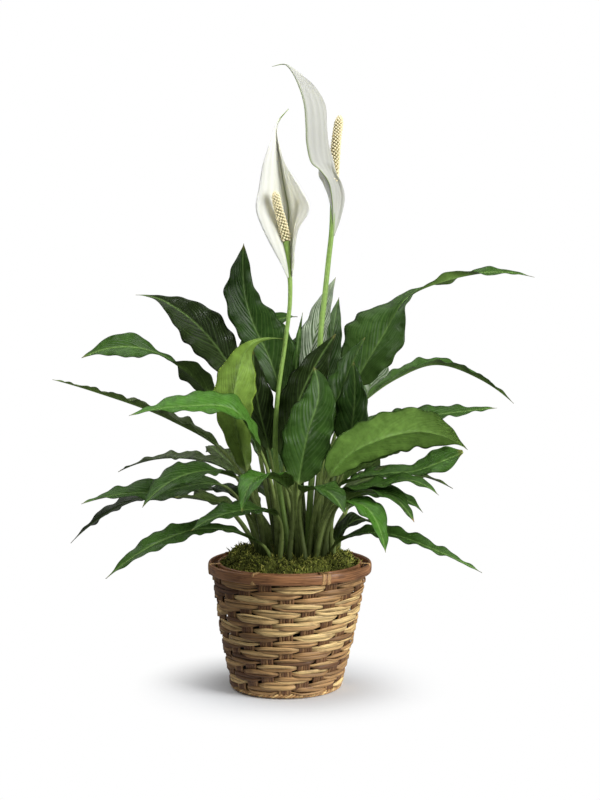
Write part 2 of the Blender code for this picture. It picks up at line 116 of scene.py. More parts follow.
# Each leaf: name, foot on the crown (bearing in degrees, radius), blade width, the blade's roll in degrees
# at each point of its midrib, the midrib from the knee, where the blade starts, to the tip, its colour, and
# its options: the bearing, fold and powers of its outline, its widths at the midrib's points, the shares of
# its two halves and a factor on its colour there that paints light and shade onto it, how far its margins
# ruffle, a factor on its back's colour that paints light onto it, how much painted sheen lies in silvery
# bands along its veins, a dry tip, and half the width of the flat sheath at the foot of its stalk.
LEAVES = (
    ("left_leaf_01", (162, 19), 50, (-60, -66, -66, -60, -50),
     [(-49, 18, 301), (-85, 34, 353), (-114, 46, 377), (-136, 54, 388), (-158, 60, 391)], "dark",
     {"widths": (18, 46, 27, 6, 0), "shade": (0.7, 0.9, 1.15, 1.1, 1)}),
    ("left_leaf_02", (207, 28), 44, (10, 0, 20, 60),
     [(-42, -25, 219), (-52, -36, 306), (-36, -30, 345), (-4, -22, 349)], "lime",
     {"bearing": 270, "widths": (12, 42, 9, 0), "ruffle": 1.0, "shade": (0.35, 1.3, 1.1, 0.6)}),
    ("left_leaf_03", (140, 10), 54, (0, 0, 5, 10, 15, 20),
     [(-8, 20, 290), (-21, 26, 330), (-36, 32, 361), (-45, 34, 392), (-47, 34, 417), (-46, 32, 443)], "deep",
     {"bearing": 100, "widths": (18, 46, 46, 38, 24, 0), "left": (0.8, 0.7, 0.95, 1.3, 1.3, 1),
      "right": (1.2, 1.25, 1.1, 0.65, 0.65, 1), "shade": (0.8, 0.9, 0.8, 0.65, 0.6, 0.7)}),
    ("left_leaf_04", (134, 28), 34, (0, 0, 0),
     [(-35, 60, 284), (-26, 74, 357), (8, 80, 368)], "mid", {"bearing": 90}),
    ("left_leaf_05", (228, 28), 33, (-30, -40, -30, -10),
     [(-27, -44, 240), (-52, -60, 283), (-98, -82, 289), (-149, -100, 282)], "bright",
     {"widths": (22, 34, 30, 0), "shade": (0.7, 1, 1.1, 1)}),
    ("left_leaf_06", (186, 29), 30, (45, 50, -25, -60, -50),
     [(-76, 4, 290), (-99, 0, 314), (-122, -6, 331), (-158, -20, 342),
      (-201, -36, 332)], "mid",
     {"widths": (16, 32, 8, 29, 0), "shade": (0.4, 0.45, 0.7, 1.25, 1.15)}),
    ("left_leaf_07", (168, 28), 25, (-20, 0, 20, 0),
     [(-70, 34, 235), (-123, 60, 263), (-202, 94, 288), (-253, 118, 300)], "olive",
     {"fold": 40, "widths": (8, 21, 10, 0), "ruffle": 3.2, "shade": (0.7, 0.9, 1.6, 1.8)}),
    ("left_leaf_08", (163, 37), 26, (0, -12, -12),
     [(-58, 34, 210), (-120, 80, 221), (-185, 124, 200)], "olive", {}),
    ("left_leaf_09", (146, 37), 36, (0, 0, 0),
     [(-48, 44, 204), (-72, 92, 221), (-88, 140, 227)], "olive", {}),
    ("left_leaf_10", (214, 37), 34, (0, -25, -20),
     [(-51, -42, 216), (-102, -88, 223), (-135, -122, 199)], "mid", {"shade": (0.7, 0.9, 1)}),
    ("left_leaf_11", (188, 37), 32, (-20, -40, -20, 0),
     [(-64, -12, 203), (-130, -44, 202), (-164, -62, 202), (-197, -80, 196)], "mid",
     {"shade": (0.5, 0.6, 0.9, 1.2)}),
    ("left_leaf_12", (175, 36), 32, (0, -20, -30, 0),
     [(-85, 16, 193), (-154, 44, 183), (-205, 62, 154), (-229, 70, 132)], "dark",
     {"shade": (0.6, 0.6, 0.7, 0.8)}),
    ("left_leaf_13", (201, 37), 30, (0, -20, 0),
     [(-39, -18, 175), (-75, -46, 193), (-109, -70, 201)], "olive", {}),
    ("left_leaf_14", (241, 37), 30, (0, -20, -10),
     [(-11, -46, 178), (-51, -84, 189), (-91, -116, 176)], "mid", {"shade": (0.6, 0.75, 0.9)}),
    ("left_leaf_15", (227, 34), 24, (0, -20, -30, -35, -25, -20),
     [(-24, -33, 146), (-48, -44, 162), (-87, -65, 169), (-113, -88, 165), (-138, -110, 155),
      (-169, -126, 133)], "mid", {"widths": (5, 11, 21, 23, 17, 0), "shade": (0.5, 0.7, 0.9, 1, 1.1, 1.3)}),
    ("left_leaf_16", (180, 13), 34, (0, 0, 0),
     [(-20, 6, 235), (-32, 8, 287), (-36, 4, 337)], "dark", {"bearing": 120}),
    ("left_leaf_17", (112, 29), 34, (0, 0, 0),
     [(-12, 40, 175), (-40, 84, 194), (-62, 116, 196)], "dark", {"sheath": 12}),
    ("centre_leaf_01", (272, 28), 50, (0, 0, 0, 0),
     [(9, -30, 206), (19, -30, 261), (29, -22, 297), (24, -14, 322)], "mid", {"bearing": 90}),
    ("centre_leaf_02", (283, 37), 34, (0, 0, 0),
     [(13, -46, 202), (37, -84, 208), (52, -112, 191)], "mid", {}),
    ("centre_leaf_03", (256, 37), 36, (0, 0, 0),
     [(-1, -48, 206), (-31, -92, 222), (-43, -124, 195)], "bright",
     {"base": 0.55, "shade": (0.5, 0.7, 0.8)}),
    ("centre_leaf_04", (72, 19), 30, (0, 0, 0),
     [(15, 32, 284), (27, 50, 356), (47, 56, 409)], "mid",
     {"bearing": 80, "painted_sheen": 0.75, "shade": (0.6, 0.9, 1)}),
    ("centre_leaf_05", (58, 28), 26, (0, 0, 0),
     [(37, 60, 282), (43, 76, 340), (51, 84, 388)], "mid",
     {"bearing": 80, "painted_sheen": 0.15, "shade": (0.7, 1, 1)}),
    ("centre_leaf_06", (60, 12), 7, (0, 0, 0),
     [(5, 14, 303), (8, 16, 337), (13, 18, 374)], "mid", {"bearing": 80}),
    ("centre_leaf_07", (300, 10), 44, (0, 0, 0),
     [(-5, 6, 226), (10, 8, 288), (46, 10, 353)], "dark", {"bearing": 100}),
    ("centre_leaf_08", (326, 19), 38, (0, 0, 0),
     [(57, -17, 237), (64, -18, 287), (63, -14, 327)], "deep", {"bearing": 60}),
    ("centre_leaf_09", (90, 28), 44, (0, 0, 0),
     [(6, 70, 272), (8, 84, 323), (15, 98, 353)], "deep", {"bearing": 90, "sheath": 13}),
    ("centre_leaf_10", (2, 19), 38, (0, 0, 0),
     [(40, 2, 260), (56, 4, 308), (75, 6, 350)], "mid", {"bearing": 50}),
    ("right_leaf_01", (34, 19), 60, (64, 62, 12, -45, 35, 20),
     [(63, 26, 296), (92, 30, 347), (122, 40, 391), (163, 50, 407),
      (205, 62, 414), (253, 76, 409)], "mid",
     {"widths": (24, 58, 17, 19, 15, 0), "left": (1.2, 1.25, 1, 1, 1, 1), "right": (0.9, 0.85, 1, 1, 1, 1),
      "shade": (0.7, 0.8, 0.9, 1.2, 1.1, 1)}),
    ("right_leaf_02", (26, 29), 22, (10, 10, 10, 10, 0),
     [(76, 48, 283), (112, 70, 306), (152, 92, 318), (200, 112, 302), (239, 122, 274)], "mid",
     {"fold": 35}),
    ("right_leaf_03", (46, 36), 34, (0, 0, 0),
     [(78, 76, 285), (91, 104, 305), (102, 128, 323)], "mid", {"bearing": 60, "painted_sheen": 0.5}),
    ("right_leaf_04", (2, 29), 32, (0, 15, 25, 20),
     [(60, 16, 256), (107, 38, 264), (165, 62, 269), (216, 80, 273)], "mid",
     {"shade": (0.8, 1.1, 1.1, 1.1)}),
    ("right_leaf_05", (300, 21), 44, (-60, -60, -60, -60, -40),
     [(38, -32, 214), (54, -44, 236), (77, -58, 251), (135, -84, 264),
      (167, -100, 250)], "mid",
     {"widths": (14, 36, 46, 44, 0), "back": 2.8, "ruffle": 1.3, "shade": (0.8, 1, 1.05, 1.1, 1)}),
    ("right_leaf_06", (350, 29), 32, (-30, -30, -30),
     [(52, -4, 206), (94, -20, 237), (143, -36, 255)], "mid", {}),
    ("right_leaf_07", (328, 29), 32, (0, 20, 30, 60, 60),
     [(46, -28, 205), (94, -44, 220), (122, -54, 224), (148, -62, 235),
      (166, -68, 244)], "mid", {"widths": (8, 22, 22, 29, 5), "shade": (0.8, 1, 1.2, 1.6, 1.6)}),
    ("right_leaf_08", (316, 28), 28, (0, 20, 20, 10),
     [(44, -40, 196), (91, -78, 214), (114, -92, 220), (140, -106, 208)], "mid", {}),
    ("right_leaf_09", (5, 37), 28, (0, 20, 10),
     [(47, 6, 187), (107, 30, 210), (168, 52, 192)], "olive", {}),
    ("right_leaf_10", (311, 37), 30, (0, 10, 10),
     [(49, -42, 190), (91, -82, 207), (117, -108, 183)], "mid", {"dry": 1.0}),
    ("right_leaf_11", (339, 37), 28, (0, 20, 10),
     [(48, -16, 184), (100, -40, 199), (129, -56, 184)], "mid", {}),
    ("right_leaf_12", (297, 37), 28, (0, 10, 0),
     [(47, -60, 193), (73, -92, 194), (90, -118, 156)], "bright", {}),
    ("right_leaf_13", (325, 37), 24, (0, 20, 15, 10, 0),
     [(43, -26, 145), (73, -50, 163), (106, -72, 163), (135, -92, 155), (179, -122, 138)], "mid",
     {"shade": (0.6, 0.8, 1, 1.3, 1.5)}),
    ("right_leaf_14", (352, 37), 26, (0, 10, 0),
     [(46, -7, 146), (67, 7, 166), (90, 21, 157)], "dark", {}),
    ("rear_leaf_01", (105, 37), 48, (0, 0, 0),
     [(-10, 58, 204), (-24, 114, 236), (-36, 170, 212)], "mid", {"sheath": 15}),
    ("rear_leaf_02", (68, 37), 46, (0, 0, 0),
     [(38, 56, 190), (70, 112, 220), (96, 160, 186)], "mid", {"sheath": 15}),
    ("rear_leaf_03", (130, 37), 44, (0, 0, 0),
     [(-34, 50, 170), (-80, 93, 185), (-104, 120, 175)], "deep", {"sheath": 13}),
    ("rear_leaf_04", (26, 38), 42, (0, 0, 0),
     [(58, 34, 172), (98, 70, 206), (122, 102, 198)], "mid", {"sheath": 12}),
)

# Each flower: its stalk from the crown to where the spike starts, the three lines of its one white bract,
# the spathe, from foot to tip (left margin, midrib, right margin), how far each half bellies out behind
# the straight line between them, a factor that paints shade onto the spathe's white, and the line of its
# spike, the spadix.
FLOWERS = {
    "left": {
        "stalk": [(0, -10, CROWN_TOP), (-14, -12, 248), (-12, -12, 288), (-4, -12, 346), (0.7, -12, 387),
                  (0.7, -12, 407), (-1.5, -13, 426), (-2.7, -16, 446)],
        "stalk_radii": (3.2, 2.6, 2.3, 2.1, 2.1, 2.3, 2.9, 3.3),
        "left": [(-2, -15, 409), (-8, -20, 422), (-15.4, -25, 436), (-25.8, -30, 456.5), (-32.2, -32, 476),
                 (-29.2, -30, 496), (-25.3, -26, 519.5), (-18.6, -18, 541.5), (-15.3, -12, 553),
                 (-10.5, -6, 563), (-1.2, 0, 573.4)],
        "mid": [(2, -10, 409), (1.6, -8, 422), (0.7, -6, 436), (-0.3, -4, 456.5), (-0.8, -4, 476),
                (-4.4, -6, 496), (-8.4, -9, 519.5), (-11.6, -9, 541.5), (-12.7, -7, 553), (-9.6, -4, 563),
                (-0.9, 0, 573.9)],
        "right": [(3, -15, 411), (5, -19, 423), (5.6, -22, 436), (9.5, -27, 456.5), (20, -30, 476),
                  (11.2, -27, 496), (-3.8, -22, 519.5), (-10.4, -15, 541.5), (-11.5, -10, 553),
                  (-8.5, -5, 563), (-0.6, 0, 573.4)],
        "belly": 3.5,
        "shade": 1.0,
        "spadix": [(-2.7, -16, 446), (-6.6, -22, 462), (-11, -29, 478), (-13.1, -34, 491.5)],
        "spadix_radius": 4.4,
    },
    "right": {
        "stalk": [(18, 6, CROWN_TOP), (30, 24, 317), (31, 24, 350), (34.9, 26, 386.5), (39.1, 28, 426.5),
                  (42.4, 29, 458), (43, 31, 475), (44, 36, 500)],
        "stalk_radii": (3.4, 3.0, 2.8, 2.7, 2.6, 2.6, 2.6, 3.0),
        "left": [(43.1, 28, 450.5), (42.1, 31, 469.5), (39.1, 34, 488.5), (33.6, 33, 502.4), (29, 31, 512.4),
                 (32.6, 36, 526.5), (32.6, 38, 541.6), (32.6, 38, 559.4), (28.5, 34, 579.9),
                 (18.5, 28, 597), (6.6, 18, 610.4), (-4.7, 10, 617.4), (-17, 8, 615.5)],
        "mid": [(44, 27, 450.4), (43.5, 26, 471.3), (41.9, 24, 491), (38.8, 21, 503.7), (31, 17, 514.4),
                (21.3, 14, 523), (16.9, 12, 541.5), (16.1, 11, 559), (14.4, 10, 579), (9.5, 9, 595.7),
                (2.7, 8, 610), (-5.2, 8, 617.7), (-17, 8, 615.7)],
        "right": [(45.1, 29, 450.5), (51.7, 34, 469.6), (55.7, 36, 488.6), (52.7, 34, 502.5),
                  (47.6, 30, 512.3), (44.5, 28, 523), (40.4, 27, 538.8), (38.4, 26, 557.4),
                  (35.8, 24, 578.8), (26.3, 19, 596.4), (9.5, 12, 610), (-4.2, 9, 617.1), (-17, 8, 615.4)],
        "belly": -5,
        "shade": 0.7,
        "spadix": [(43.5, 36, 505), (45.5, 41, 527), (47.5, 45, 550), (50.8, 46, 570.5)],
        "spadix_radius": 5.0,
    },
}


def linear(hex_colour):
    """The linear RGB of an sRGB hex colour."""
    values = np.array([int(hex_colour[i : i + 2], 16) for i in (1, 3, 5)]) / 255
    bent = np.where(values <= 0.04045, values / 12.92, ((values + 0.055) / 1.055) ** 2.4)
    return tuple(bent.tolist())


def length_property(label, description, default):
    return bpy.props.FloatProperty(name=label, description=description, default=default, min=0, unit="LENGTH")


def count_property(label, description, default):
    return bpy.props.IntProperty(
        name=label, description=description, default=default, min=1, subtype="UNSIGNED"
    )


def colour_property(label, description, default):
    return bpy.props.FloatVectorProperty(
        name=label, description=description, default=linear(default), size=3, subtype="COLOR", min=0, max=1
    )


class LilySizes(bpy.types.PropertyGroup):
    """Sizes that a user would change."""

    leaf_thickness: length_property("Leaf thickness", "Thickness of a blade at its middle", 0.0005)
    vein_spacing: length_property("Vein spacing", "Distance between side veins along the midrib", 0.009)
    vein_depth: length_property("Vein depth", "How far the blade swells between its side veins", 0.0002)
    margin_ruffle: length_property("Margin ruffle", "How far a blade's margin waves up and down", 0.0021)
    spathe_thickness: length_property("Spathe thickness", "Thickness of the white bract", 0.0007)
    knob_spacing: length_property("Knob spacing", "Distance between the knobs of the spadix", 0.0029)
    weaver_pitch: length_property("Weaver pitch", "Height of one row of the basket's weave", 0.00615)
    cane_width: length_property("Stake cane width", "Width of one cane of a stake", 0.003)
    stakes: count_property("Stakes", "Upright stakes round the basket", 21)
    ties: count_property("Rim ties", "Lashings round the rim hoops", 7)
    moss_sprigs: count_property("Moss sprigs", "Sprigs of moss", 7000)


class LilyColours(bpy.types.PropertyGroup):
    """Colours that a user would change."""

    dark: colour_property("Dark leaf", "Upper face of the shaded old leaves", "#1f2c11")
    deep: colour_property("Deep leaf", "Upper face of the large deep green leaves", "#284317")
    mid: colour_property("Mid leaf", "Upper face of most leaves", "#34531e")
    bright: colour_property("Bright leaf", "Upper face of the fresh leaves", "#467426")
    lime: colour_property("Lime leaf", "Back of a young leaf that the light comes through", "#86a53a")
    olive: colour_property("Olive leaf", "Upper face of the dull narrow leaves", "#3f4e24")
    under: colour_property("Leaf back", "Underside of a leaf", "#5f7a38")
    vein: colour_property("Vein", "Midrib and side veins of the upper face", "#86a85c")
    # Painted sheen: a silvery colour mixed into some leaves in bands along their veins, standing in for the
    # gloss of their quilting.
    painted_sheen: colour_property("Silver", "Silvery sheen between the veins of a young leaf", "#c3cdb8")
    dry: colour_property("Dry tip", "A leaf tip that has dried", "#8a6a3a")
    petiole: colour_property("Petiole", "Leaf stalk", "#6d7d45")
    flower_stalk: colour_property("Flower stalk", "Stalk of a flower", "#7f9f4a")
    spathe: colour_property("Spathe", "The white bract", "#dcddd4")
    spathe_green: colour_property("Spathe tip", "Green tip and keel of the bract", "#7d9440")
    spadix: colour_property("Spadix", "The knobs of the spike", "#fbf0c8")
    # Painted shade: the dark olive of the gaps between the knobs, given to the core and to each knob's foot.
    spadix_gap_shade: colour_property("Spadix gaps", "The core between the knobs", "#75713a")
    straw: colour_property("Straw cane", "The palest weavers", "#f8d694")
    tan: colour_property("Tan cane", "Most weavers", "#c59a66")
    brown: colour_property("Brown cane", "The stakes and the darkest weavers", "#6f4c31")
    bamboo: colour_property("Rim bamboo", "Stained bamboo hoop", "#a2714a")
    moss_dark: colour_property("Dark moss", "Shaded moss", "#3a401d")
    moss: colour_property("Moss", "Olive moss", "#838a3a")
    moss_light: colour_property("Light moss", "Sprig tips", "#cbc66c")
    soil: colour_property("Potting soil", "Damp peat mix", "#2b2119")
    root: colour_property("Root crown", "Scarred rootstock", "#4d4a2a")
    pot: colour_property("Grow pot", "Thin black plastic", "#161616")
    floor: colour_property("Floor", "Studio floor", "#f0f2f5")


def add_node(tree, kind, links=None, **settings):
    """Adds a shader node with its settings; each input takes a value, or a link from an output."""
    made = tree.nodes.new("ShaderNode" + kind)
    for key, value in settings.items():
        setattr(made, key, value)
    for key, value in (links or {}).items():
        if isinstance(value, bpy.types.NodeSocket):
            tree.links.new(value, made.inputs[key])
        else:
            made.inputs[key].default_value = value
    return made


def new_material(name, roughness, specular, settings=None):
    """A Principled material, its node tree and its shader, with any more of its sockets set."""
    material = bpy.data.materials.new(name)
    material.use_nodes = True
    tree = material.node_tree
    shader = tree.nodes["Principled BSDF"]
    shader.inputs["Roughness"].default_value = roughness
    shader.inputs["Specular IOR Level"].default_value = specular
    for key, value in (settings or {}).items():
        shader.inputs[key].default_value = value
    return material, tree, shader


def smooth_step(x):
    """0 below 0, 1 above 1, and 3x^2 - 2x^3 between."""
    x = np.clip(x, 0, 1)
    return x * x * (3 - 2 * x)


def mixed(a, b, share):
    """a where share is 0, b where it is 1, with share's shape carried to the colours."""
    share = np.asarray(share)[..., None]
    return np.asarray(a) * (1 - share) + np.asarray(b) * share


def cubic(a, b, slope_a, slope_b, t):
    """The Hermite cubic from a to b, t from 0 to 1, with the given slopes at its ends."""
    return (
        (2 * t**3 - 3 * t**2 + 1) * a + (t**3 - 2 * t**2 + t) * slope_a
        + (3 * t**2 - 2 * t**3) * b + (t**3 - t**2) * slope_b
    )


def eased(values, stretch):
    """Values stated at a curve's points, carried between them by cubics whose slopes are the mean of the
    steps either side of each point."""
    values = np.asarray(values, float)
    slopes = np.gradient(values, axis=0)
    whole = np.clip(np.floor(stretch), 0, len(values) - 2).astype(int)
    t = np.asarray(stretch) - whole
    if values.ndim > 1:
        t = t[:, None]
    return cubic(values[whole], values[whole + 1], slopes[whole], slopes[whole + 1], t)


def roll_at(rolls, stretch):
    """The roll along a blade, easing from each midrib point's value to the next one's."""
    whole = np.clip(np.floor(stretch), 0, len(rolls) - 2).astype(int)
    rolls = np.array(rolls, float)
    return rolls[whole] + (rolls[whole + 1] - rolls[whole]) * smooth_step(stretch - whole)


def curve_through(points, start, samples):
    """Places and directions along a smooth curve through the points, which leaves the first one along start.

    Each stretch is a Hermite cubic, with tangents from the chords either side, weighted by their lengths.
    samples are the wanted positions, counted in stretches from 0 to the number of points less 1.
    """
    points = np.array(points, float)
    chords = np.diff(points, axis=0)
    lengths = np.linalg.norm(chords, axis=1)
    slopes = chords / lengths[:, None]
    tangents = np.empty_like(points)
    tangents[0] = slopes[0] if start is None else np.array(start, float)
    tangents[-1] = slopes[-1] if len(slopes) == 1 else 1.5 * slopes[-1] - 0.5 * slopes[-2]
    share = (lengths[:-1] / (lengths[:-1] + lengths[1:]))[:, None]
    tangents[1:-1] = slopes[:-1] * (1 - share) + slopes[1:] * share
    samples = np.array(samples, float)
    stretch = np.minimum(samples.astype(int), len(lengths) - 1)
    t = (samples - stretch)[:, None]
    size = lengths[stretch][:, None]
    a, b = points[stretch], points[stretch + 1]
    ta, tb = tangents[stretch] * size, tangents[stretch + 1] * size
    ways = (6 * t**2 - 6 * t) * (a - b) + (3 * t**2 - 4 * t + 1) * ta + (3 * t**2 - 2 * t) * tb
    return cubic(a, b, ta, tb, t), ways / np.linalg.norm(ways, axis=1)[:, None]


def even_samples(points, start, first, last, count):
    """count positions between two of the curve's points, evenly spaced along its length."""
    fine = np.linspace(first, last, 400)
    places, _ = curve_through(points, start, fine)
    walked = np.concatenate([[0], np.cumsum(np.linalg.norm(np.diff(places, axis=0), axis=1))])
    return np.interp(np.linspace(0, walked[-1], count), walked, fine)


def frames_along(ways, bearing, rolls):
    """Side and face directions at each ring: level and square to the bearing, then rolled about the curve."""
    angle = math.radians(bearing)
    level = np.array([-math.sin(angle), math.cos(angle), 0])
    sides = level - (ways @ level)[:, None] * ways
    sides /= np.linalg.norm(sides, axis=1)[:, None]
    faces = np.cross(ways, sides)
    roll = np.radians(rolls)[:, None]
    return np.cos(roll) * sides + np.sin(roll) * faces, np.cos(roll) * faces - np.sin(roll) * sides


def tube_faces(parts, rows, columns, joined=False):
    """Faces of parts alike, each of rows rings of columns points: four-sided ones between rings, and one at
    each end, or none where joined says that the last ring meets the first."""
    i, j = np.meshgrid(np.arange(rows if joined else rows - 1), np.arange(columns), indexing="ij")
    after, k = (i + 1) % rows, (j + 1) % columns
    quads = np.stack([i * columns + j, after * columns + j, after * columns + k, i * columns + k], axis=-1)
    ends = np.stack([np.arange(columns), rows * columns - 1 - np.arange(columns)])
    offset = (np.arange(parts) * rows * columns)[:, None, None]
    groups = [(quads.reshape(1, -1, 4) + offset).reshape(-1, 4)]
    if not joined:
        groups.append((ends[None] + offset).reshape(-1, columns))
    return groups


def enclosed(points, faces):
    """The volume that the faces enclose, positive where they point outwards."""
    total = 0
    for group in faces:
        fan = group.shape[1]
        for n in range(1, fan - 1):
            a, b, c = points[group[:, 0]], points[group[:, n]], points[group[:, n + 1]]
            total += np.einsum("ij,ij->i", a, np.cross(b, c)).sum() / 6
    return total


def make_piece(name, rings, material, slot, nodes, fields, joined=False, smooth=True):
    """One piece of the object from rings of points in millimetres.

    rings is (parts, rows, columns, 3), or without the first axis for one part, and fields are values stated
    for every point, which the material reads as attributes. What is woven of cane leans with the basket:
    its foot lies LEAN to the side of its rim.
    """
    rings = np.asarray(rings, float)
    if rings.ndim == 3:
        rings = rings[None]
    if slot == "woven_cane":
        rings = rings.copy()
        rings[..., 0] += LEAN * (1 - rings[..., 2] / RIM_HEIGHT)
    parts, rows, columns, _ = rings.shape
    points = rings.reshape(-1, 3)
    faces = tube_faces(parts, rows, columns, joined)
    if not np.isfinite(points).all() or enclosed(points, faces) <= 0:
        raise RuntimeError(f"{name} isn't a closed surface with its faces outwards")
    mesh = bpy.data.meshes.new(name)
    mesh.vertices.add(len(points))
    mesh.vertices.foreach_set("co", (points * MM).astype(np.float32).ravel())
    corners = np.concatenate([group.ravel() for group in faces])
    sizes = np.concatenate([np.full(len(group), group.shape[1]) for group in faces])
    mesh.loops.add(len(corners))
    mesh.loops.foreach_set("vertex_index", corners.astype(np.int32))
    mesh.polygons.add(len(sizes))
    mesh.polygons.foreach_set("loop_start", (np.cumsum(sizes) - sizes).astype(np.int32))
    mesh.update(calc_edges=True)
    for field, values in fields.items():
        values = np.asarray(values, np.float32)
        kind, key = ("FLOAT_VECTOR", "vector") if values.shape[-1:] == (3,) else ("FLOAT", "value")
        shape = rings.shape if key == "vector" else rings.shape[:3]
        attribute = mesh.attributes.new(field, kind, "POINT")
        attribute.data.foreach_set(key, np.broadcast_to(values, shape).ravel())
    if smooth:
        mesh.shade_smooth()
    mesh.materials.append(material)
    piece = bpy.data.objects.new(name, mesh)
    bpy.context.scene.collection.objects.link(piece)
    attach(piece, "root")
    if nodes:
        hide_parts(*nodes)
    return piece


def round_sections(places, sides, tops, radii, columns):
    """Rings round a line: each point lies its ring's radius away, turning with the line's frame."""
    turn = np.radians(180) - np.linspace(0, 2 * math.pi, columns, endpoint=False)
    x = radii[..., None] * np.cos(turn)
    y = radii[..., None] * np.sin(turn)
    return places[..., None, :] + x[..., None] * sides[..., None, :] + y[..., None] * tops[..., None, :]


# ---------------------------------------------------------------- finishes


def leaf_material(sizes, colours):
    """A living leaf: a waxy skin over green tissue, quilted between sunken side veins.

    The wax gives a soft broad gloss, and the quilting breaks it into bands that arch forward to the margin.
    """
    material, tree, shader = new_material("Waxy leaf", 0.3, 0.12)
    tint = add_node(tree, "Attribute", attribute_name="tint").outputs["Vector"]
    vein = add_node(tree, "Attribute", attribute_name="vein").outputs["Fac"]
    painted_sheen = add_node(tree, "Attribute", attribute_name="painted_sheen").outputs["Fac"]
    place = add_node(tree, "TexCoord").outputs["Object"]
    # Mottling in cells of 6.25 mm, and below a fine grain of 1.1 mm
    mottle = add_node(tree, "TexNoise", {"Vector": place, "Scale": 160.0, "Detail": 4.0}).outputs["Fac"]
    turned = add_node(tree, "Math", {0: vein, 1: 2 * math.pi}, operation="MULTIPLY").outputs[0]
    wave = add_node(tree, "Math", {0: turned}, operation="COSINE").outputs[0]
    ridge = add_node(tree, "Math", {0: wave, 1: 0.5, 2: 0.5}, operation="MULTIPLY_ADD").outputs[0]
    line = add_node(tree, "Math", {0: ridge, 1: 9.0}, operation="POWER").outputs[0]
    lit = add_node(tree, "Math", {0: line, 1: 0.13}, operation="MULTIPLY").outputs[0]
    veined = add_node(
        tree, "Mix", {"Factor": lit, 6: tint, 7: (*colours.vein, 1)}, data_type="RGBA"
    ).outputs[2]
    # Painted sheen: silvery bands along the veins, as much as each leaf's amount says.
    bands = add_node(tree, "Math", {0: ridge, 1: painted_sheen}, operation="MULTIPLY").outputs[0]
    with_painted_sheen = add_node(
        tree, "Mix", {"Factor": bands, 6: veined, 7: (*colours.painted_sheen, 1)}, data_type="RGBA"
    ).outputs[2]
    shade = add_node(
        tree, "MapRange", {"Value": mottle, "From Min": 0.3, "From Max": 0.7, "To Min": 0.78, "To Max": 1.2}
    ).outputs["Result"]
    scaled = add_node(tree, "VectorMath", {0: with_painted_sheen, "Scale": shade}, operation="SCALE").outputs[0]
    tree.links.new(scaled, shader.inputs["Base Color"])
    fine = add_node(tree, "TexNoise", {"Vector": place, "Scale": 900.0, "Detail": 2.0}).outputs["Fac"]
    rough = add_node(
        tree, "MapRange", {"Value": mottle, "From Min": 0.3, "From Max": 0.7, "To Min": 0.24, "To Max": 0.36}
    ).outputs["Result"]
    tree.links.new(rough, shader.inputs["Roughness"])
    grain = add_node(tree, "Math", {0: fine, 1: 0.06}, operation="MULTIPLY").outputs[0]
    height = add_node(tree, "Math", {0: grain, 1: ridge}, operation="SUBTRACT").outputs[0]
    bump = add_node(tree, "Bump", {"Height": height, "Distance": sizes.vein_depth, "Filter Width": 1.0})
    tree.links.new(bump.outputs["Normal"], shader.inputs["Normal"])
    return material


def mottled_material(name, roughness, specular, grain, depth, low=0.85, high=1.12, colour=None):
    """A mottled, faintly rough material in the piece's own tint, or in one colour. Its mottling has cells of
    grain millimetres, runs from low to high times the colour, and stands depth metres proud."""
    material, tree, shader = new_material(name, roughness, specular)
    tint = colour or add_node(tree, "Attribute", attribute_name="tint").outputs["Vector"]
    place = add_node(tree, "TexCoord").outputs["Object"]
    cells = {"Vector": place, "Scale": 1 / (grain * MM), "Detail": 4.0}
    noise = add_node(tree, "TexNoise", cells).outputs["Fac"]
    shade = add_node(
        tree, "MapRange", {"Value": noise, "From Min": 0.3, "From Max": 0.7, "To Min": low, "To Max": high}
    ).outputs["Result"]
    scaled = add_node(tree, "VectorMath", {0: tint, "Scale": shade}, operation="SCALE").outputs[0]
    tree.links.new(scaled, shader.inputs["Base Color"])
    bump = add_node(tree, "Bump", {"Height": noise, "Distance": depth, "Filter Width": 1.0})
    tree.links.new(bump.outputs["Normal"], shader.inputs["Normal"])
    return material


def spathe_material():
    """A waxy white bract: soft and slightly see-through, as light passes about 2 mm through it each way, with
    fine veins that run from foot to tip."""
    thin = {"Subsurface Weight": 0.6, "Subsurface Radius": (1.0, 1.0, 0.8), "Subsurface Scale": 0.002}
    material, tree, shader = new_material("Waxy white bract", 0.5, 0.3, thin)
    tint = add_node(tree, "Attribute", attribute_name="tint").outputs["Vector"]
    vein = add_node(tree, "Attribute", attribute_name="vein").outputs["Fac"]
    turned = add_node(tree, "Math", {0: vein, 1: 2 * math.pi}, operation="MULTIPLY").outputs[0]
    wave = add_node(tree, "Math", {0: turned}, operation="COSINE").outputs[0]
    relief = add_node(tree, "Attribute", attribute_name="relief").outputs["Fac"]
    ridge = add_node(tree, "Math", {0: wave, 1: 0.5, 2: 0.5}, operation="MULTIPLY_ADD").outputs[0]
    ridge = add_node(tree, "Math", {0: ridge, 1: relief}, operation="MULTIPLY").outputs[0]
    shade = add_node(tree, "MapRange", {"Value": ridge, "To Min": 1.0, "To Max": 0.88}).outputs["Result"]
    scaled = add_node(tree, "VectorMath", {0: tint, "Scale": shade}, operation="SCALE").outputs[0]
    tree.links.new(scaled, shader.inputs["Base Color"])
    bump = add_node(tree, "Bump", {"Height": ridge, "Distance": 0.0004, "Filter Width": 1.0})
    tree.links.new(bump.outputs["Normal"], shader.inputs["Normal"])
    return material


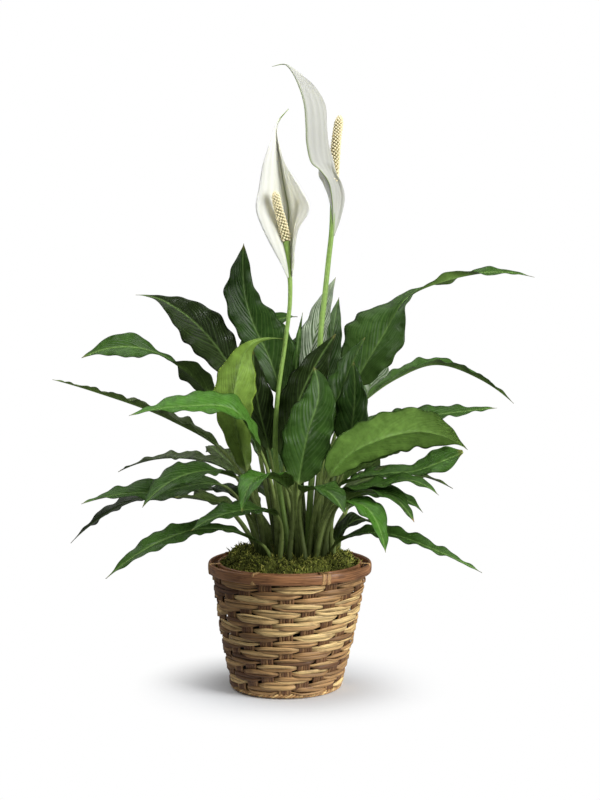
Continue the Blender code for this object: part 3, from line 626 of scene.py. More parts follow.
def cane_material(name, colours, roughness, stain=None):
    """Peeled cane or split bamboo: fibres that run along each strip, drawn 0.8 mm apart so that they show,
    under a thin varnish."""
    material, tree, shader = new_material(name, roughness, 0.4)
    tint = add_node(tree, "Attribute", attribute_name="tint").outputs["Vector"]
    grain = add_node(tree, "Attribute", attribute_name="grain").outputs["Vector"]
    # 25 mm along the fibre for 0.8 mm across it
    fibre = add_node(tree, "Mapping", {"Vector": grain, "Scale": (0.04, 1.25, 1.25)}).outputs["Vector"]
    lines = add_node(tree, "TexNoise", {"Vector": fibre, "Scale": 1.0, "Detail": 3.0}).outputs["Fac"]
    shade = add_node(
        tree, "MapRange", {"Value": lines, "From Min": 0.3, "From Max": 0.7, "To Min": 0.45, "To Max": 1.3}
    ).outputs["Result"]
    scaled = add_node(tree, "VectorMath", {0: tint, "Scale": shade}, operation="SCALE").outputs[0]
    blotch = add_node(tree, "Mapping", {"Vector": grain, "Scale": (0.07, 0.2, 0.3)}).outputs["Vector"]
    patches = add_node(tree, "TexNoise", {"Vector": blotch, "Scale": 1.0, "Detail": 2.0}).outputs["Fac"]
    dark = add_node(
        tree, "MapRange", {"Value": patches, "From Min": 0.52, "From Max": 0.7, "To Min": 0.0, "To Max": 0.55}
    ).outputs["Result"]
    stained = add_node(
        tree, "Mix", {"Factor": dark, 6: scaled, 7: (*(stain or colours.brown), 1)}, data_type="RGBA"
    ).outputs[2]
    tree.links.new(stained, shader.inputs["Base Color"])
    bump = add_node(tree, "Bump", {"Height": lines, "Distance": 0.00045, "Filter Width": 1.0})
    tree.links.new(bump.outputs["Normal"], shader.inputs["Normal"])
    return material


# ---------------------------------------------------------------- leaves

def blade_ring():
    """Where a ring's points lie: across from -1 to 1 over the upper face and back underneath, closer
    together near the midrib, which face they are on, and their angle on a round stalk."""
    x = np.linspace(-1, 1, BLADE_COLUMNS)
    spread = np.sign(x) * np.abs(x) ** 1.35
    across = np.concatenate([spread, spread[-2:0:-1]])
    over = np.arange(len(across)) < BLADE_COLUMNS
    face = np.sqrt(np.maximum(1 - across**6, 0)) * np.where(over, 1, -1)
    half_turn = np.linspace(math.pi, 0, BLADE_COLUMNS)
    return across, face, over, np.concatenate([half_turn, -half_turn[-2:0:-1]])


def blade_width(t, width, base_power, tip_power):
    """Half the width along a blade: t^base_power (1 - t)^tip_power, scaled so that its peak is the width."""
    peak = base_power / (base_power + tip_power)
    shape = np.clip(t, 0, 1) ** base_power * np.clip(1 - t, 0, 1) ** tip_power
    return width / 2 * shape / (peak**base_power * (1 - peak) ** tip_power)


def on_crown(bearing, radius):
    angle = math.radians(bearing)
    return (
        CROWN_CENTRE[0] + radius * math.cos(angle), CROWN_CENTRE[1] + radius * math.sin(angle), CROWN_TOP
    )


def leaf_surface(leaf, seed, sizes, colours):
    """Rings and fields of one leaf, stalk and blade in one.

    A blade's section is folded along the midrib, each half rising by |v| less a part of v squared, where v
    runs from -1 at one margin to 1 at the other. The margins ruffle by sines along the length that grow as
    |v|^2.2, the upper face has a groove along the midrib, and the underside a rib that thins to the tip. A
    side vein is where (distance along the midrib - length (0.3 |v| + 0.14 |v|^3)) is a whole number of
    spacings, give or take a slow drift. The stalk is a round tube that opens out into the blade.
    """
    name, foot, width, rolls, midrib, look, options = leaf
    rng = np.random.default_rng(seed)
    points = [on_crown(*foot), *midrib]
    lean = np.array(points[1]) - np.array(points[0])
    start = (lean[0] / 400, lean[1] / 400, 1)
    stalk = even_samples(points, start, 0, 1, STALK_ROWS)[:-1]
    blade = even_samples(points, start, 1, len(points) - 1, BLADE_ROWS)
    places, ways = curve_through(points, start, np.concatenate([stalk, blade]))
    t = np.concatenate([np.zeros(len(stalk)), np.linspace(0, 1, BLADE_ROWS)])
    run = np.array(points[-1]) - np.array(points[0])
    bearing = options.get("bearing", math.degrees(math.atan2(run[1], run[0])))
    stations = np.concatenate([np.zeros(len(stalk)), blade - 1])
    sides, tops = frames_along(ways, bearing, roll_at(rolls, stations))
    if "widths" in options:
        half = np.maximum(eased(options["widths"], stations), 0) / 2
    else:
        half = blade_width(t, width, options.get("base", LEAF_BASE), options.get("point", LEAF_POINT))
    half = np.maximum(half, THINNEST_HALF)[:, None]
    walked = np.concatenate([[0], np.cumsum(np.linalg.norm(np.diff(places, axis=0), axis=1))])
    along = (walked - walked[len(stalk)])[:, None]
    length = along[-1, 0]

    across, face, over, turn = blade_ring()
    v = np.abs(across)
    waves = 2 * math.pi * t[:, None] * length / RUFFLE_LENGTH
    phase = rng.uniform(0, 2 * math.pi, 4)
    side = np.sign(across)
    calm = np.sqrt(half / half.max()) * smooth_step(t[:, None] / 0.15)
    ruffle = options.get("ruffle", sizes.margin_ruffle / MM) * calm * v**2.2
    ruffle = ruffle * (
        0.75 * np.sin(waves + phase[0] + 1.2 * side) + 0.4 * np.sin(1.83 * waves + phase[1] - 0.8 * side)
    )
    swell = 1 + 0.06 * calm * v**2 * np.sin(1.37 * waves + phase[2] + 2 * side)
    left = eased(options.get("left", [1] * len(midrib)), stations)[:, None]
    right = eased(options.get("right", [1] * len(midrib)), stations)[:, None]
    share = np.where(across < 0, right, left)
    angle = math.radians(options.get("fold", LEAF_FOLD))
    thickness = sizes.leaf_thickness / MM
    x_blade = across * share * half * math.cos(angle) * swell
    rise = half * share * math.sin(angle) * (v - BLADE_FALL * v**2) * BLADE_RISE
    near = np.exp(-((x_blade / MIDRIB_WIDTH) ** 2))
    rib = np.where(over, -MIDRIB_GROOVE, -(MIDRIB_GROOVE + MIDRIB_HEIGHT * (1 - t[:, None]))) * near
    y_blade = rise + face * thickness / 2 * (1 - 0.3 * t[:, None]) + ruffle + rib

    foot_share = np.clip(walked[:, None] / walked[len(stalk)], 0, 1)
    radius = STALK_RADII[1] + (STALK_RADII[0] - STALK_RADII[1]) * (1 - foot_share) ** 1.3
    sheath = (options.get("sheath", STALK_RADII[0]) - STALK_RADII[0]) * (1 - foot_share) ** 0.7
    open_out = smooth_step(t[:, None] / 0.06)
    x = (1 - open_out) * (radius + sheath) * np.cos(turn) + open_out * x_blade
    y = (1 - open_out) * radius * np.sin(turn) + open_out * y_blade
    rings = places[:, None] + x[..., None] * sides[:, None] + y[..., None] * tops[:, None]

    spacing = sizes.vein_spacing / MM
    advance = length * (0.3 * v + 0.14 * v**3)
    drift = 0.22 * np.sin((along - advance) * 0.21 + phase[3])
    vein = (along - advance) / spacing + drift + rng.uniform()
    vein = np.where(open_out < 0.5, 0.5, vein)
    upper = np.array(getattr(colours, look)) * rng.uniform(0.9, 1.12)
    lower = mixed(upper, colours.under, 0.65)
    middle = np.exp(-((x_blade / 0.8) ** 2)) * 0.45
    young = 0.25 * np.exp(-t[:, None] / 0.12) + 0 * v
    tint = mixed(upper, colours.vein, np.clip(middle + young, 0, 1))
    # Painted light: the back factor brightens the colour of the underside, standing in for light falling on
    # that face.
    lower = mixed(lower, colours.vein, middle * 0.6) * options.get("back", 1)
    tint = np.where(over[None, :, None], tint, lower)
    # Painted light and shade: the shade factors darken a leaf's colour where it lies deep in the clump and
    # brighten it where the light falls.
    tint = tint * eased(options.get("shade", [1] * len(midrib)), stations)[:, None, None]
    margin = 1 - 0.25 * smooth_step((v - 0.6) / 0.4)
    tint = tint * (margin * (1 - 0.12 * t[:, None]))[..., None]
    dried = smooth_step((t[:, None] - 0.95) / 0.04) * options.get("dry", 0.35) + 0 * v
    tint = mixed(tint, colours.dry, dried)
    petiole = np.array(colours.petiole) * rng.uniform(0.6, 1.5)
    # Painted shade: each stalk darkens to 0.3 of its colour towards its foot, deep in the clump.
    petiole = petiole * (0.3 + 0.7 * smooth_step(foot_share * 1.6))[..., None]
    tint = tint * open_out[..., None] + petiole * (1 - open_out[..., None])
    # Painted sheen: each leaf's amount of it, fainter on the underside.
    painted_sheen = options.get("painted_sheen", 0) * np.where(over, 1, 0.3) * open_out
    return rings, {"tint": tint, "vein": vein, "painted_sheen": painted_sheen}


class LILY_OT_leaves(bpy.types.Operator):
    """Grow the forty-five leaves, each with its stalk, from the crown"""

    bl_idname = "peace_lily.leaves"
    bl_label = "Leaves"

    def execute(self, context):
        sizes, colours = context.scene.lily_sizes, context.scene.lily_colours
        material = leaf_material(sizes, colours)
        for number, leaf in enumerate(LEAVES):
            rings, fields = leaf_surface(leaf, 11 + number, sizes, colours)
            make_piece(leaf[0] + "_grown", rings, material, "leaf", [leaf[0]], fields)
        return {"FINISHED"}


# ---------------------------------------------------------------- flowers


def spathe_surface(flower, sizes, colours):
    """Rings and fields of one spathe.

    Its middle surface runs straight from the midrib's curve to each margin's curve and bellies out by
    4 belly |v| (1 - |v|), v being 0 at the midrib and 1 at a margin. Both faces lie half the thickness away
    along the surface's own normals.
    """
    stations = np.linspace(0, len(flower["mid"]) - 1, SPATHE_ROWS)
    left, mid, right = (eased(flower[line], stations) for line in ("left", "mid", "right"))
    x = np.linspace(-1, 1, SPATHE_COLUMNS)
    v = (np.sign(x) * np.abs(x) ** 1.2)[None, :, None]
    margin = np.where(v < 0, left[:, None], right[:, None])
    way = np.gradient(mid, axis=0)
    chord = right - left + np.array([1e-3, 0, 0])
    out = np.cross(way, chord)
    out /= np.linalg.norm(out, axis=1)[:, None]
    spans = np.linalg.norm(margin - mid[:, None], axis=2, keepdims=True)
    full = np.clip(spans / FULL_HALF, 0, 1)
    belly = -flower["belly"] * 4 * np.abs(v) * (1 - np.abs(v)) * full
    sheet = mid[:, None] * (1 - np.abs(v)) + margin * np.abs(v) + belly * out[:, None]
    # The margins curl back a little, in slow waves
    waves = np.sin(stations * 2.1)[:, None, None] * 0.9 + 0.5
    sheet = sheet - waves * full * np.abs(v) ** 6 * out[:, None]
    normals = np.cross(np.gradient(sheet, axis=0), np.gradient(sheet, axis=1))
    normals /= np.maximum(np.linalg.norm(normals, axis=2, keepdims=True), 1e-9)
    half = sizes.spathe_thickness / MM / 2 * np.sqrt(np.maximum(1 - np.abs(v) ** 8, 0))
    taper = np.clip(spans / 3, 0.3, 1)
    upper, lower = sheet + normals * half * taper, sheet - normals * half * taper
    rings = np.concatenate([upper, lower[:, -2:0:-1]], axis=1)

    flat = np.concatenate([v[0, :, 0], v[0, -2:0:-1, 0]])
    on_upper = np.arange(len(flat)) < SPATHE_COLUMNS
    t = (stations / stations[-1])[:, None]
    keel = np.exp(-((np.abs(flat) / 0.035) ** 2)) * (1 - 0.35 * t)
    tip = smooth_step((t - GREEN_TIP) / 0.12)
    foot = 0.25 * np.exp(-t / 0.06)
    green = np.clip(np.maximum(keel * np.where(on_upper, 0.35, 0.9), tip) + foot, 0, 1)
    # Painted shade: the flower's shade factor darkens the spathe's white.
    tint = mixed(np.array(colours.spathe) * flower["shade"], colours.spathe_green, green)
    vein = np.sign(flat) * np.abs(flat) ** 0.9 * SPATHE_VEINS + 0 * t
    width = np.concatenate([spans[:, :, 0], spans[:, -2:0:-1, 0]], axis=1)
    return rings, {"tint": tint, "vein": vein, "relief": smooth_step((width - 6) / 14) * (1 - tip)}


def spadix_knobs(flower, sizes):
    """Small domes set in spirals round the spike: each next one turns by the golden angle, and their rows
    stand a knob's spacing apart. A dome's rings shrink by the cosine as they rise by the sine."""
    line, radius, pitch = flower["spadix"], flower["spadix_radius"], sizes.knob_spacing / MM
    fine = np.linspace(0, len(line) - 1, 200)
    places, _ = curve_through(line, None, fine)
    length = np.linalg.norm(np.diff(places, axis=0), axis=1).sum()
    count = int(length * 2 * math.pi * radius / pitch**2)
    number = np.arange(count)
    t = (number + 0.5) / count
    samples = np.interp(t, np.linspace(0, 1, len(fine)), fine)
    places, ways = curve_through(line, None, samples)
    sides, tops = frames_along(ways, 90, np.zeros(count))
    turn = number * GOLDEN_ANGLE
    out = np.cos(turn)[:, None] * sides + np.sin(turn)[:, None] * tops
    closing = np.clip((t - SPADIX_SHOULDER) / 0.15, 0, 1)
    body = radius * (1 - 0.25 * t) * np.sqrt(np.maximum(1 - closing**2, 0.03))
    lean = smooth_step((t - SPADIX_SHOULDER) / 0.14)[:, None]
    up = out * (1 - lean * 0.8) + ways * lean
    up /= np.linalg.norm(up, axis=1)[:, None]
    forward = ways - np.einsum("ij,ij->i", ways, up)[:, None] * up
    forward /= np.linalg.norm(forward, axis=1)[:, None]
    centres = places + out * (body - 0.5)[:, None]
    rise = np.array([-0.5, 0.1, 0.7, 1.05]) * pitch * 0.5
    size = np.array([0.85, 1.0, 0.8, 0.3]) * pitch * 0.44
    around = np.linspace(0, 2 * math.pi, 7, endpoint=False)
    ring = size[None, :, None, None] * (
        np.cos(around)[None, None, :, None] * forward[:, None, None]
        + np.sin(around)[None, None, :, None] * np.cross(up, forward)[:, None, None]
    )
    rings = centres[:, None, None] + up[:, None, None] * rise[None, :, None, None] + ring
    return rings[:, :, ::-1], places, ways, body


class LILY_OT_flowers(bpy.types.Operator):
    """Make the two flowers: stalk, white spathe and knobbed spadix"""

    bl_idname = "peace_lily.flowers"
    bl_label = "Flowers"

    def execute(self, context):
        sizes, colours = context.scene.lily_sizes, context.scene.lily_colours
        white = spathe_material()
        # A smooth fleshy stalk: satin, with faint mottling about 3 mm across
        stem = mottled_material("Fleshy flower stalk", 0.4, 0.4, 3.33, 0.0002)
        # The waxy knobs of the spike: a soft sheen, finely grained at half a millimetre
        spike = mottled_material("Waxy spadix", 0.6, 0.3, 0.556, 0.0002)
        for side, flower in FLOWERS.items():
            points = flower["stalk"]
            samples = even_samples(points, (0, 0, 1), 0, len(points) - 1, 90)
            places, ways = curve_through(points, (0, 0, 1), samples)
            sides, tops = frames_along(ways, 90, np.zeros(len(samples)))
            radii = eased(flower["stalk_radii"], samples)
            rings = round_sections(places, sides, tops, radii, 18)
            t = np.linspace(0, 1, len(samples))[:, None]
            lift = 0.55 + 0.45 * smooth_step(t * 2.2) + 0.15 * t
            tint = np.array(colours.flower_stalk) * (lift + np.zeros(18))[..., None]
            make_piece(
                f"{side}_flower_stalk_grown", rings, stem, "flower_stalk", [f"{side}_flower_stalk"],
                {"tint": tint},
            )
            rings, fields = spathe_surface(flower, sizes, colours)
            make_piece(f"{side}_spathe_grown", rings, white, "spathe", [f"{side}_spathe"], fields)
            knobs, places, ways, body = spadix_knobs(flower, sizes)
            # Painted shade: each knob's lowest rings take the gap colour, so that the gaps between knobs look
            # shaded.
            shade = np.array([0.45, 0.85, 1.0, 1.0])[None, :, None]
            tint = mixed(colours.spadix_gap_shade, colours.spadix, np.broadcast_to(shade, knobs.shape[:3]))
            make_piece(f"{side}_spadix_knobs", knobs, spike, "spadix", [f"{side}_spadix"], {"tint": tint})
            # The core between the knobs, in the painted shade colour of the gaps.
            core_at = np.linspace(0, len(places) - 1, 40).astype(int)
            sides, tops = frames_along(ways[core_at], 90, np.zeros(len(core_at)))
            core = round_sections(places[core_at], sides, tops, np.maximum(body[core_at] - 0.7, 0.4), 14)
            make_piece(
                f"{side}_spadix_core", core, spike, "spadix", [], {"tint": np.array(colours.spadix_gap_shade)}
            )
        return {"FINISHED"}


# ---------------------------------------------------------------- basket


def wall_radius(z):
    """The middle of the woven wall: a straight taper with a little belly, 0 to the rim in millimetres."""
    top, foot = RIM_RADIUS - HOOP_SPACE - HALF_WALL, BASE_RADIUS - HALF_WALL
    t = np.clip(z / (RIM_HEIGHT - HOOP_HEIGHT), 0, 1)
    return foot + (top - foot) * t + WALL_BELLY * np.sin(math.pi * t)


def ribbon_rings(angle, height, radius, half_height, half_thickness, columns=CANE_COLUMNS):
    """Rings of a flat strip that runs round the basket: a squashed circle, tall by half_height and thick by
    half_thickness, at each angle, height and radius along it."""
    turn = np.linspace(0, 2 * math.pi, columns, endpoint=False)
    up = np.sign(np.sin(turn)) * np.abs(np.sin(turn)) ** 0.7
    out = np.sign(np.cos(turn)) * np.abs(np.cos(turn)) ** 0.7
    r = radius[..., None] + half_thickness[..., None] * out
    z = height[..., None] + half_height[..., None] * up
    ways = angle[..., None]
    return np.stack([r * np.cos(ways), r * np.sin(ways), z + 0 * r], axis=-1)


def weaver_surface(sizes, colours, rng):
    """Rings, tints and grain of the weavers: in each row, one float over every two stakes out of three,
    made of two splints. A float runs from behind one stake to behind the third after it, a from -1 to 1,
    stands proud until it dips behind the stake, and closes to points as (1 - |a|^p)^0.8."""
    stakes, pitch = sizes.stakes // 3 * 3, sizes.weaver_pitch / MM
    rows = int((RIM_HEIGHT - HOOP_HEIGHT - FIRST_ROW) / pitch)
    row, place, splint = (
        values.ravel() for values in np.meshgrid(
            np.arange(rows), np.arange(stakes // 3), np.arange(2), indexing="ij"
        )
    )
    count = len(row)
    step = 2 * math.pi / stakes
    centre = FIRST_STAKE + (3 * place + row % 3 + 1.5) * step + rng.normal(0, 0.05, count) * step
    share = rng.uniform(0.3, 0.7, (rows, stakes // 3))[row, place]
    share = np.where(splint == 0, share, 1 - share)
    tall = pitch * 0.66 * share * rng.uniform(0.85, 1.1, count)
    below = np.where(splint == 0, -1, 1) * pitch * 0.64 * (1 - share)
    a = np.linspace(-1, 1, 29)[None]
    span = 1.5 * step * rng.uniform(0.94, 1.04, count)[:, None]
    angle = centre[:, None] + a * span
    base = FIRST_ROW + (row + 0.5) * pitch + below + rng.normal(0, 0.25, count)
    sag = rng.normal(0, 0.7, count)[:, None] * a + rng.normal(0, 0.5, count)[:, None] * a**2
    height = base[:, None] - below[:, None] * smooth_step((np.abs(a) - 0.3) / 0.6) * 0.8 + sag
    lens = (1 - np.abs(a) ** rng.uniform(1.9, 3.6, count)[:, None]) ** 0.8
    half_height = np.maximum(tall[:, None] * lens, 0.25)
    bow = 2.2 * (1 - 2 * smooth_step((np.abs(a) - 0.4) / 0.6)) + rng.normal(0, 0.35, count)[:, None]
    radius = wall_radius(height) + bow
    rings = ribbon_rings(angle, height, radius, half_height, np.full(angle.shape, 0.75))
    tone = rng.normal(0.68, 0.2, (rows, stakes // 3))[row, place] + rng.normal(0, 0.2, count)
    # Painted shade darkens the weavers on the left, the side away from the key light, and the top rows, by
    # the rim, are browner
    left_shade_and_browner_top = 0.3 * smooth_step((-np.cos(centre) - 0.3) / 0.5) + 0.3 * smooth_step((row - rows + 5) / 4)
    tone = np.clip(tone - left_shade_and_browner_top, 0, 1)
    along = a * span * radius + rng.uniform(0, 900, count)[:, None]
    across = np.sin(np.linspace(0, 2 * math.pi, CANE_COLUMNS, endpoint=False))
    grain = np.stack(
        np.broadcast_arrays(
            along[..., None], across * half_height[..., None], np.arange(count)[:, None, None] * 7.3
        ), axis=-1,
    )
    # Painted shade: a splint darkens towards its ends, where it dips behind the stakes, and along its lower
    # edge
    painted_edge_shade = (1 - 0.55 * a[0][:, None] ** 4) * (1 - 0.45 * np.maximum(-across, 0))
    return rings, cane_tint(tone, rings.shape, colours) * painted_edge_shade[None, ..., None], grain


def stake_surface(sizes, colours, rng):
    """Rings, tints and grain of the stakes: five round canes side by side at each stake, which bend in
    and out of the weave by the cosine of a third of the rows."""
    stakes, pitch, width = sizes.stakes // 3 * 3, sizes.weaver_pitch / MM, sizes.cane_width / MM
    stake, cane = (
        values.ravel() for values in np.meshgrid(np.arange(stakes), np.arange(CANES), indexing="ij")
    )
    count = len(stake)
    z = np.linspace(1.2, RIM_HEIGHT - 4, 110)[None] + np.zeros((count, 1))
    radius = wall_radius(z)
    row = (z - FIRST_ROW) / pitch - 0.5
    radius = radius + 0.8 * np.cos(2 * math.pi * (row - stake[:, None]) / 3)
    radius = radius + rng.normal(0, 0.15, count)[:, None]
    spread = (cane - CANES // 2)[:, None] * width * 0.95 * (0.84 + 0.16 * z / RIM_HEIGHT)
    angle = FIRST_STAKE + stake[:, None] * 2 * math.pi / stakes + spread / radius
    turn = -np.linspace(0, 2 * math.pi, CANE_COLUMNS, endpoint=False)
    r = radius[..., None] + 0.9 * np.cos(turn)
    across = angle[..., None] + width / 2 * np.sin(turn) / r
    rings = np.stack([r * np.cos(across), r * np.sin(across), z[..., None] + 0 * r], axis=-1)
    tone = np.clip(rng.normal(0.12, 0.08, count), 0, 1)
    grain = np.stack(
        np.broadcast_arrays(
            z[..., None], np.sin(turn) * width / 2, np.arange(count)[:, None, None] * 5.1
        ), axis=-1,
    )
    return rings, cane_tint(tone, rings.shape, colours), grain


def cane_tint(tone, shape, colours):
    """Brown below a tone of a third, through tan, to straw at 1."""
    tone = tone.reshape(-1, 1, 1) + np.zeros(shape[:3])
    low = mixed(colours.brown, colours.tan, smooth_step(tone / 0.5))
    return mixed(low, colours.straw, smooth_step((tone - 0.45) / 0.5))


def base_surface(sizes, colours, rng):
    """Rings, tints and grain of the basket's woven base: flat canes both ways in a plain weave, each as
    long as the circle is there, rising and falling by the cosine over and under the others."""
    pitch, limit = 9.2, BASE_RADIUS - 6.5
    number = np.arange(BASE_CANES)
    offsets = (number - BASE_CANES // 2) * pitch
    a = np.linspace(-1, 1, 61)[None]
    reach = np.sqrt(limit**2 - offsets**2)[:, None]
    along, across = a * reach, offsets[:, None] + 0 * a
    wave = 0.62 * np.cos(math.pi * (along / pitch + number[:, None]))
    turn = np.linspace(0, 2 * math.pi, CANE_COLUMNS, endpoint=False)
    squash = np.sign(np.cos(turn)) * np.abs(np.cos(turn)) ** 0.6 * pitch * 0.46
    rise = np.sin(turn) * 0.5
    one, two = across[..., None] + squash, along[..., None] + 0 * squash
    top = 2.1 + wave[..., None] + rise
    under = 2.1 - wave[..., None] + rise
    east = np.stack([two, -one, top], axis=-1)
    north = np.stack([one, two, under], axis=-1)
    rings = np.concatenate([east, north])
    if enclosed(rings[:1].reshape(-1, 3), tube_faces(1, 61, CANE_COLUMNS)) < 0:
        rings = rings[:, :, ::-1]
    tone = np.clip(rng.normal(0.5, 0.2, len(rings)), 0, 1)
    grain = np.concatenate([np.stack([two, one, top], axis=-1)] * 2)
    return rings, cane_tint(tone, rings.shape, colours), grain


def hoop_rings(radius, height, tall, thick, rng):
    """A split bamboo hoop: a strip that runs a little more than once round, so that its thinned ends
    overlap, wandering by a few tenths of a millimetre as split bamboo does."""
    lap = 0.22
    turn = np.linspace(-lap, 2 * math.pi + lap, 200)
    angle = turn + math.radians(118)
    end = smooth_step((turn - 2 * math.pi + lap) / (2 * lap)) - smooth_step((lap - turn) / (2 * lap))
    wander = 0.25 * np.sin(3 * turn + rng.uniform(0, 6)) + 0.15 * np.sin(7 * turn + rng.uniform(0, 6))
    half = thick / 2 * (1 - 0.55 * np.abs(end))
    r = radius + wander + end * thick * 0.26
    z = height + 0.35 * np.sin(2 * turn + rng.uniform(0, 6))
    rings = ribbon_rings(angle, z, r, np.full(len(turn), tall / 2), half, 16)
    along = (turn * radius)[:, None] + np.zeros(16)
    across = np.sin(np.linspace(0, 2 * math.pi, 16, endpoint=False)) * tall / 2 + 0 * along
    return rings, np.stack([along, across, 0 * along], axis=-1)


def tie_rings(middle, height, tall, deep, angle, width):
    """A flat cane lashed once round the rim: a rounded rectangle in the upright plane at that angle, as a
    closed strip of the cane's width."""
    turn = np.linspace(0, 2 * math.pi, 40, endpoint=False)
    out = np.sign(np.cos(turn)) * np.abs(np.cos(turn)) ** 0.35
    up = np.sign(np.sin(turn)) * np.abs(np.sin(turn)) ** 0.35
    section = np.linspace(0, 2 * math.pi, CANE_COLUMNS, endpoint=False)
    wide = np.cos(section) * width / 2
    proud = 0.4 * np.sin(section)
    r = middle + (deep / 2 + proud) * out[:, None]
    z = height + (tall / 2 + proud) * up[:, None]
    lean = 0.35 * np.sin(turn)[:, None]
    across = angle + (wide + lean) / middle
    rings = np.stack([r * np.cos(across), r * np.sin(across), z], axis=-1)
    along = (turn * (tall + deep) / math.pi)[:, None] + 0 * wide
    return rings, np.stack([along, wide + 0 * along, angle * 40 + 0 * along], axis=-1)


class LILY_OT_basket(bpy.types.Operator):
    """Weave the basket: stakes, weavers, base, rim hoops and their ties"""

    bl_idname = "peace_lily.basket"
    bl_label = "Basket"

    def execute(self, context):
        sizes, colours = context.scene.lily_sizes, context.scene.lily_colours
        rng = np.random.default_rng(5)
        cane = cane_material("Peeled cane", colours, 0.55)
        for name, build, nodes in (
            ("basket_stakes", stake_surface, ["basket_wall"]),
            ("basket_weavers", weaver_surface, ["basket_wall"]),
            ("basket_base_weave", base_surface, ["basket_base"]),
        ):
            rings, tint, grain = build(sizes, colours, rng)
            make_piece(name, rings, cane, "woven_cane", nodes, {"tint": tint, "grain": grain})
        turn = np.linspace(0, 2 * math.pi, 240, endpoint=False)[None]
        phase = (np.arange(3) * 2 * math.pi / 3)[:, None]
        rope = ribbon_rings(
            turn + 0 * phase, 2.6 + 1.2 * np.sin(26 * turn + phase),
            BASE_RADIUS - 2.2 + 1.2 * np.cos(26 * turn + phase),
            np.full((3, 240), 1.15), np.full((3, 240), 1.15),
        )
        tint = cane_tint(np.array([0.5, 0.75, 0.35]), rope.shape, colours)
        make_piece(
            "basket_foot_border", rope, cane, "woven_cane", ["basket_wall"],
            {"tint": tint, "grain": rope}, joined=True,
        )
        bamboo = cane_material("Stained split bamboo", colours, 0.42, tuple(linear("#4a2c1a")))
        middle = RIM_HEIGHT - HOOP_HEIGHT / 2
        for name, radius, thick, node in (
            ("rim_hoop_outer_bent", OUTER_HOOP, 3.6, "rim_hoop_outer"),
            ("rim_hoop_inner_bent", INNER_HOOP, 3.0, "rim_hoop_inner"),
        ):
            rings, grain = hoop_rings(radius, middle, HOOP_HEIGHT - 0.8, thick, rng)
            make_piece(
                name, rings, bamboo, "rim_bamboo", [node],
                {"tint": np.array(colours.bamboo), "grain": grain},
            )
        # Every other tie is two turns of cane side by side
        between, deep = (OUTER_HOOP + INNER_HOOP) / 2, OUTER_HOOP - INNER_HOOP + 3.2
        built = []
        for number in range(sizes.ties):
            angle = FIRST_TIE + number * 2 * math.pi / sizes.ties
            for shift, width in ((0, 4.6),) if number % 2 == 0 else ((-2.6, 4.2), (2.6, 4.2)):
                built.append(
                    tie_rings(between, middle, HOOP_HEIGHT - 0.2, deep, angle + shift / OUTER_HOOP, width)
                )
        rings = np.array([tie[0] for tie in built])
        grain = np.array([tie[1] for tie in built])
        tone = np.clip(rng.normal(0.5, 0.1, len(rings)), 0, 1)
        tint = cane_tint(tone, rings.shape, colours)
        make_piece(
            "rim_ties", rings, cane, "woven_cane", ["rim_hoop_outer"], {"tint": tint, "grain": grain},
            joined=True,
        )
        return {"FINISHED"}


# ---------------------------------------------------------------- moss, soil and pot


def moss_height(x, y):
    """The moss's surface in millimetres: a ring-shaped bank between the crown and the rim, its crest
    nearer the clump, with lumps as sums of sines."""
    radius = np.hypot(x, y)
    from_crown = np.hypot(x - CROWN_CENTRE[0], y - CROWN_CENTRE[1])
    lumps = (
        2.4 * np.sin(x * 0.16 + 1.3) * np.cos(y * 0.19 - 0.4) + 1.8 * np.sin(x * 0.31 - y * 0.27)
        + 1.5 * np.cos(x * 0.55 + y * 0.43 + 2) * np.sin(y * 0.6 - x * 0.2)
    )
    bank = 13 * smooth_step((70 - radius) / 18) - 9 * smooth_step((34 - from_crown) / 14)
    bank = bank + 5 * np.exp(-(((x + 48) / 16) ** 2) - ((y - 8) / 26) ** 2) * smooth_step((70 - radius) / 10)
    return MOSS_LEVEL + bank + lumps


def moss_bed_rings():
    """A dense mat: a disc of rings from the centre out, whose top follows moss_height and whose underside
    lies flat over the potting soil."""
    rows = 44
    turn = -np.linspace(0, 2 * math.pi, 96, endpoint=False)
    reach = np.concatenate([np.linspace(0.5, MOSS_REACH, rows), [68, 40, 0.5]])[:, None]
    x, y = reach * np.cos(turn), reach * np.sin(turn)
    top = moss_height(x, y)
    under = (np.arange(len(reach)) >= rows)[:, None]
    z = np.where(under, MOSS_UNDERSIDE, top)
    return np.stack([x, y, z], axis=-1)[::-1]


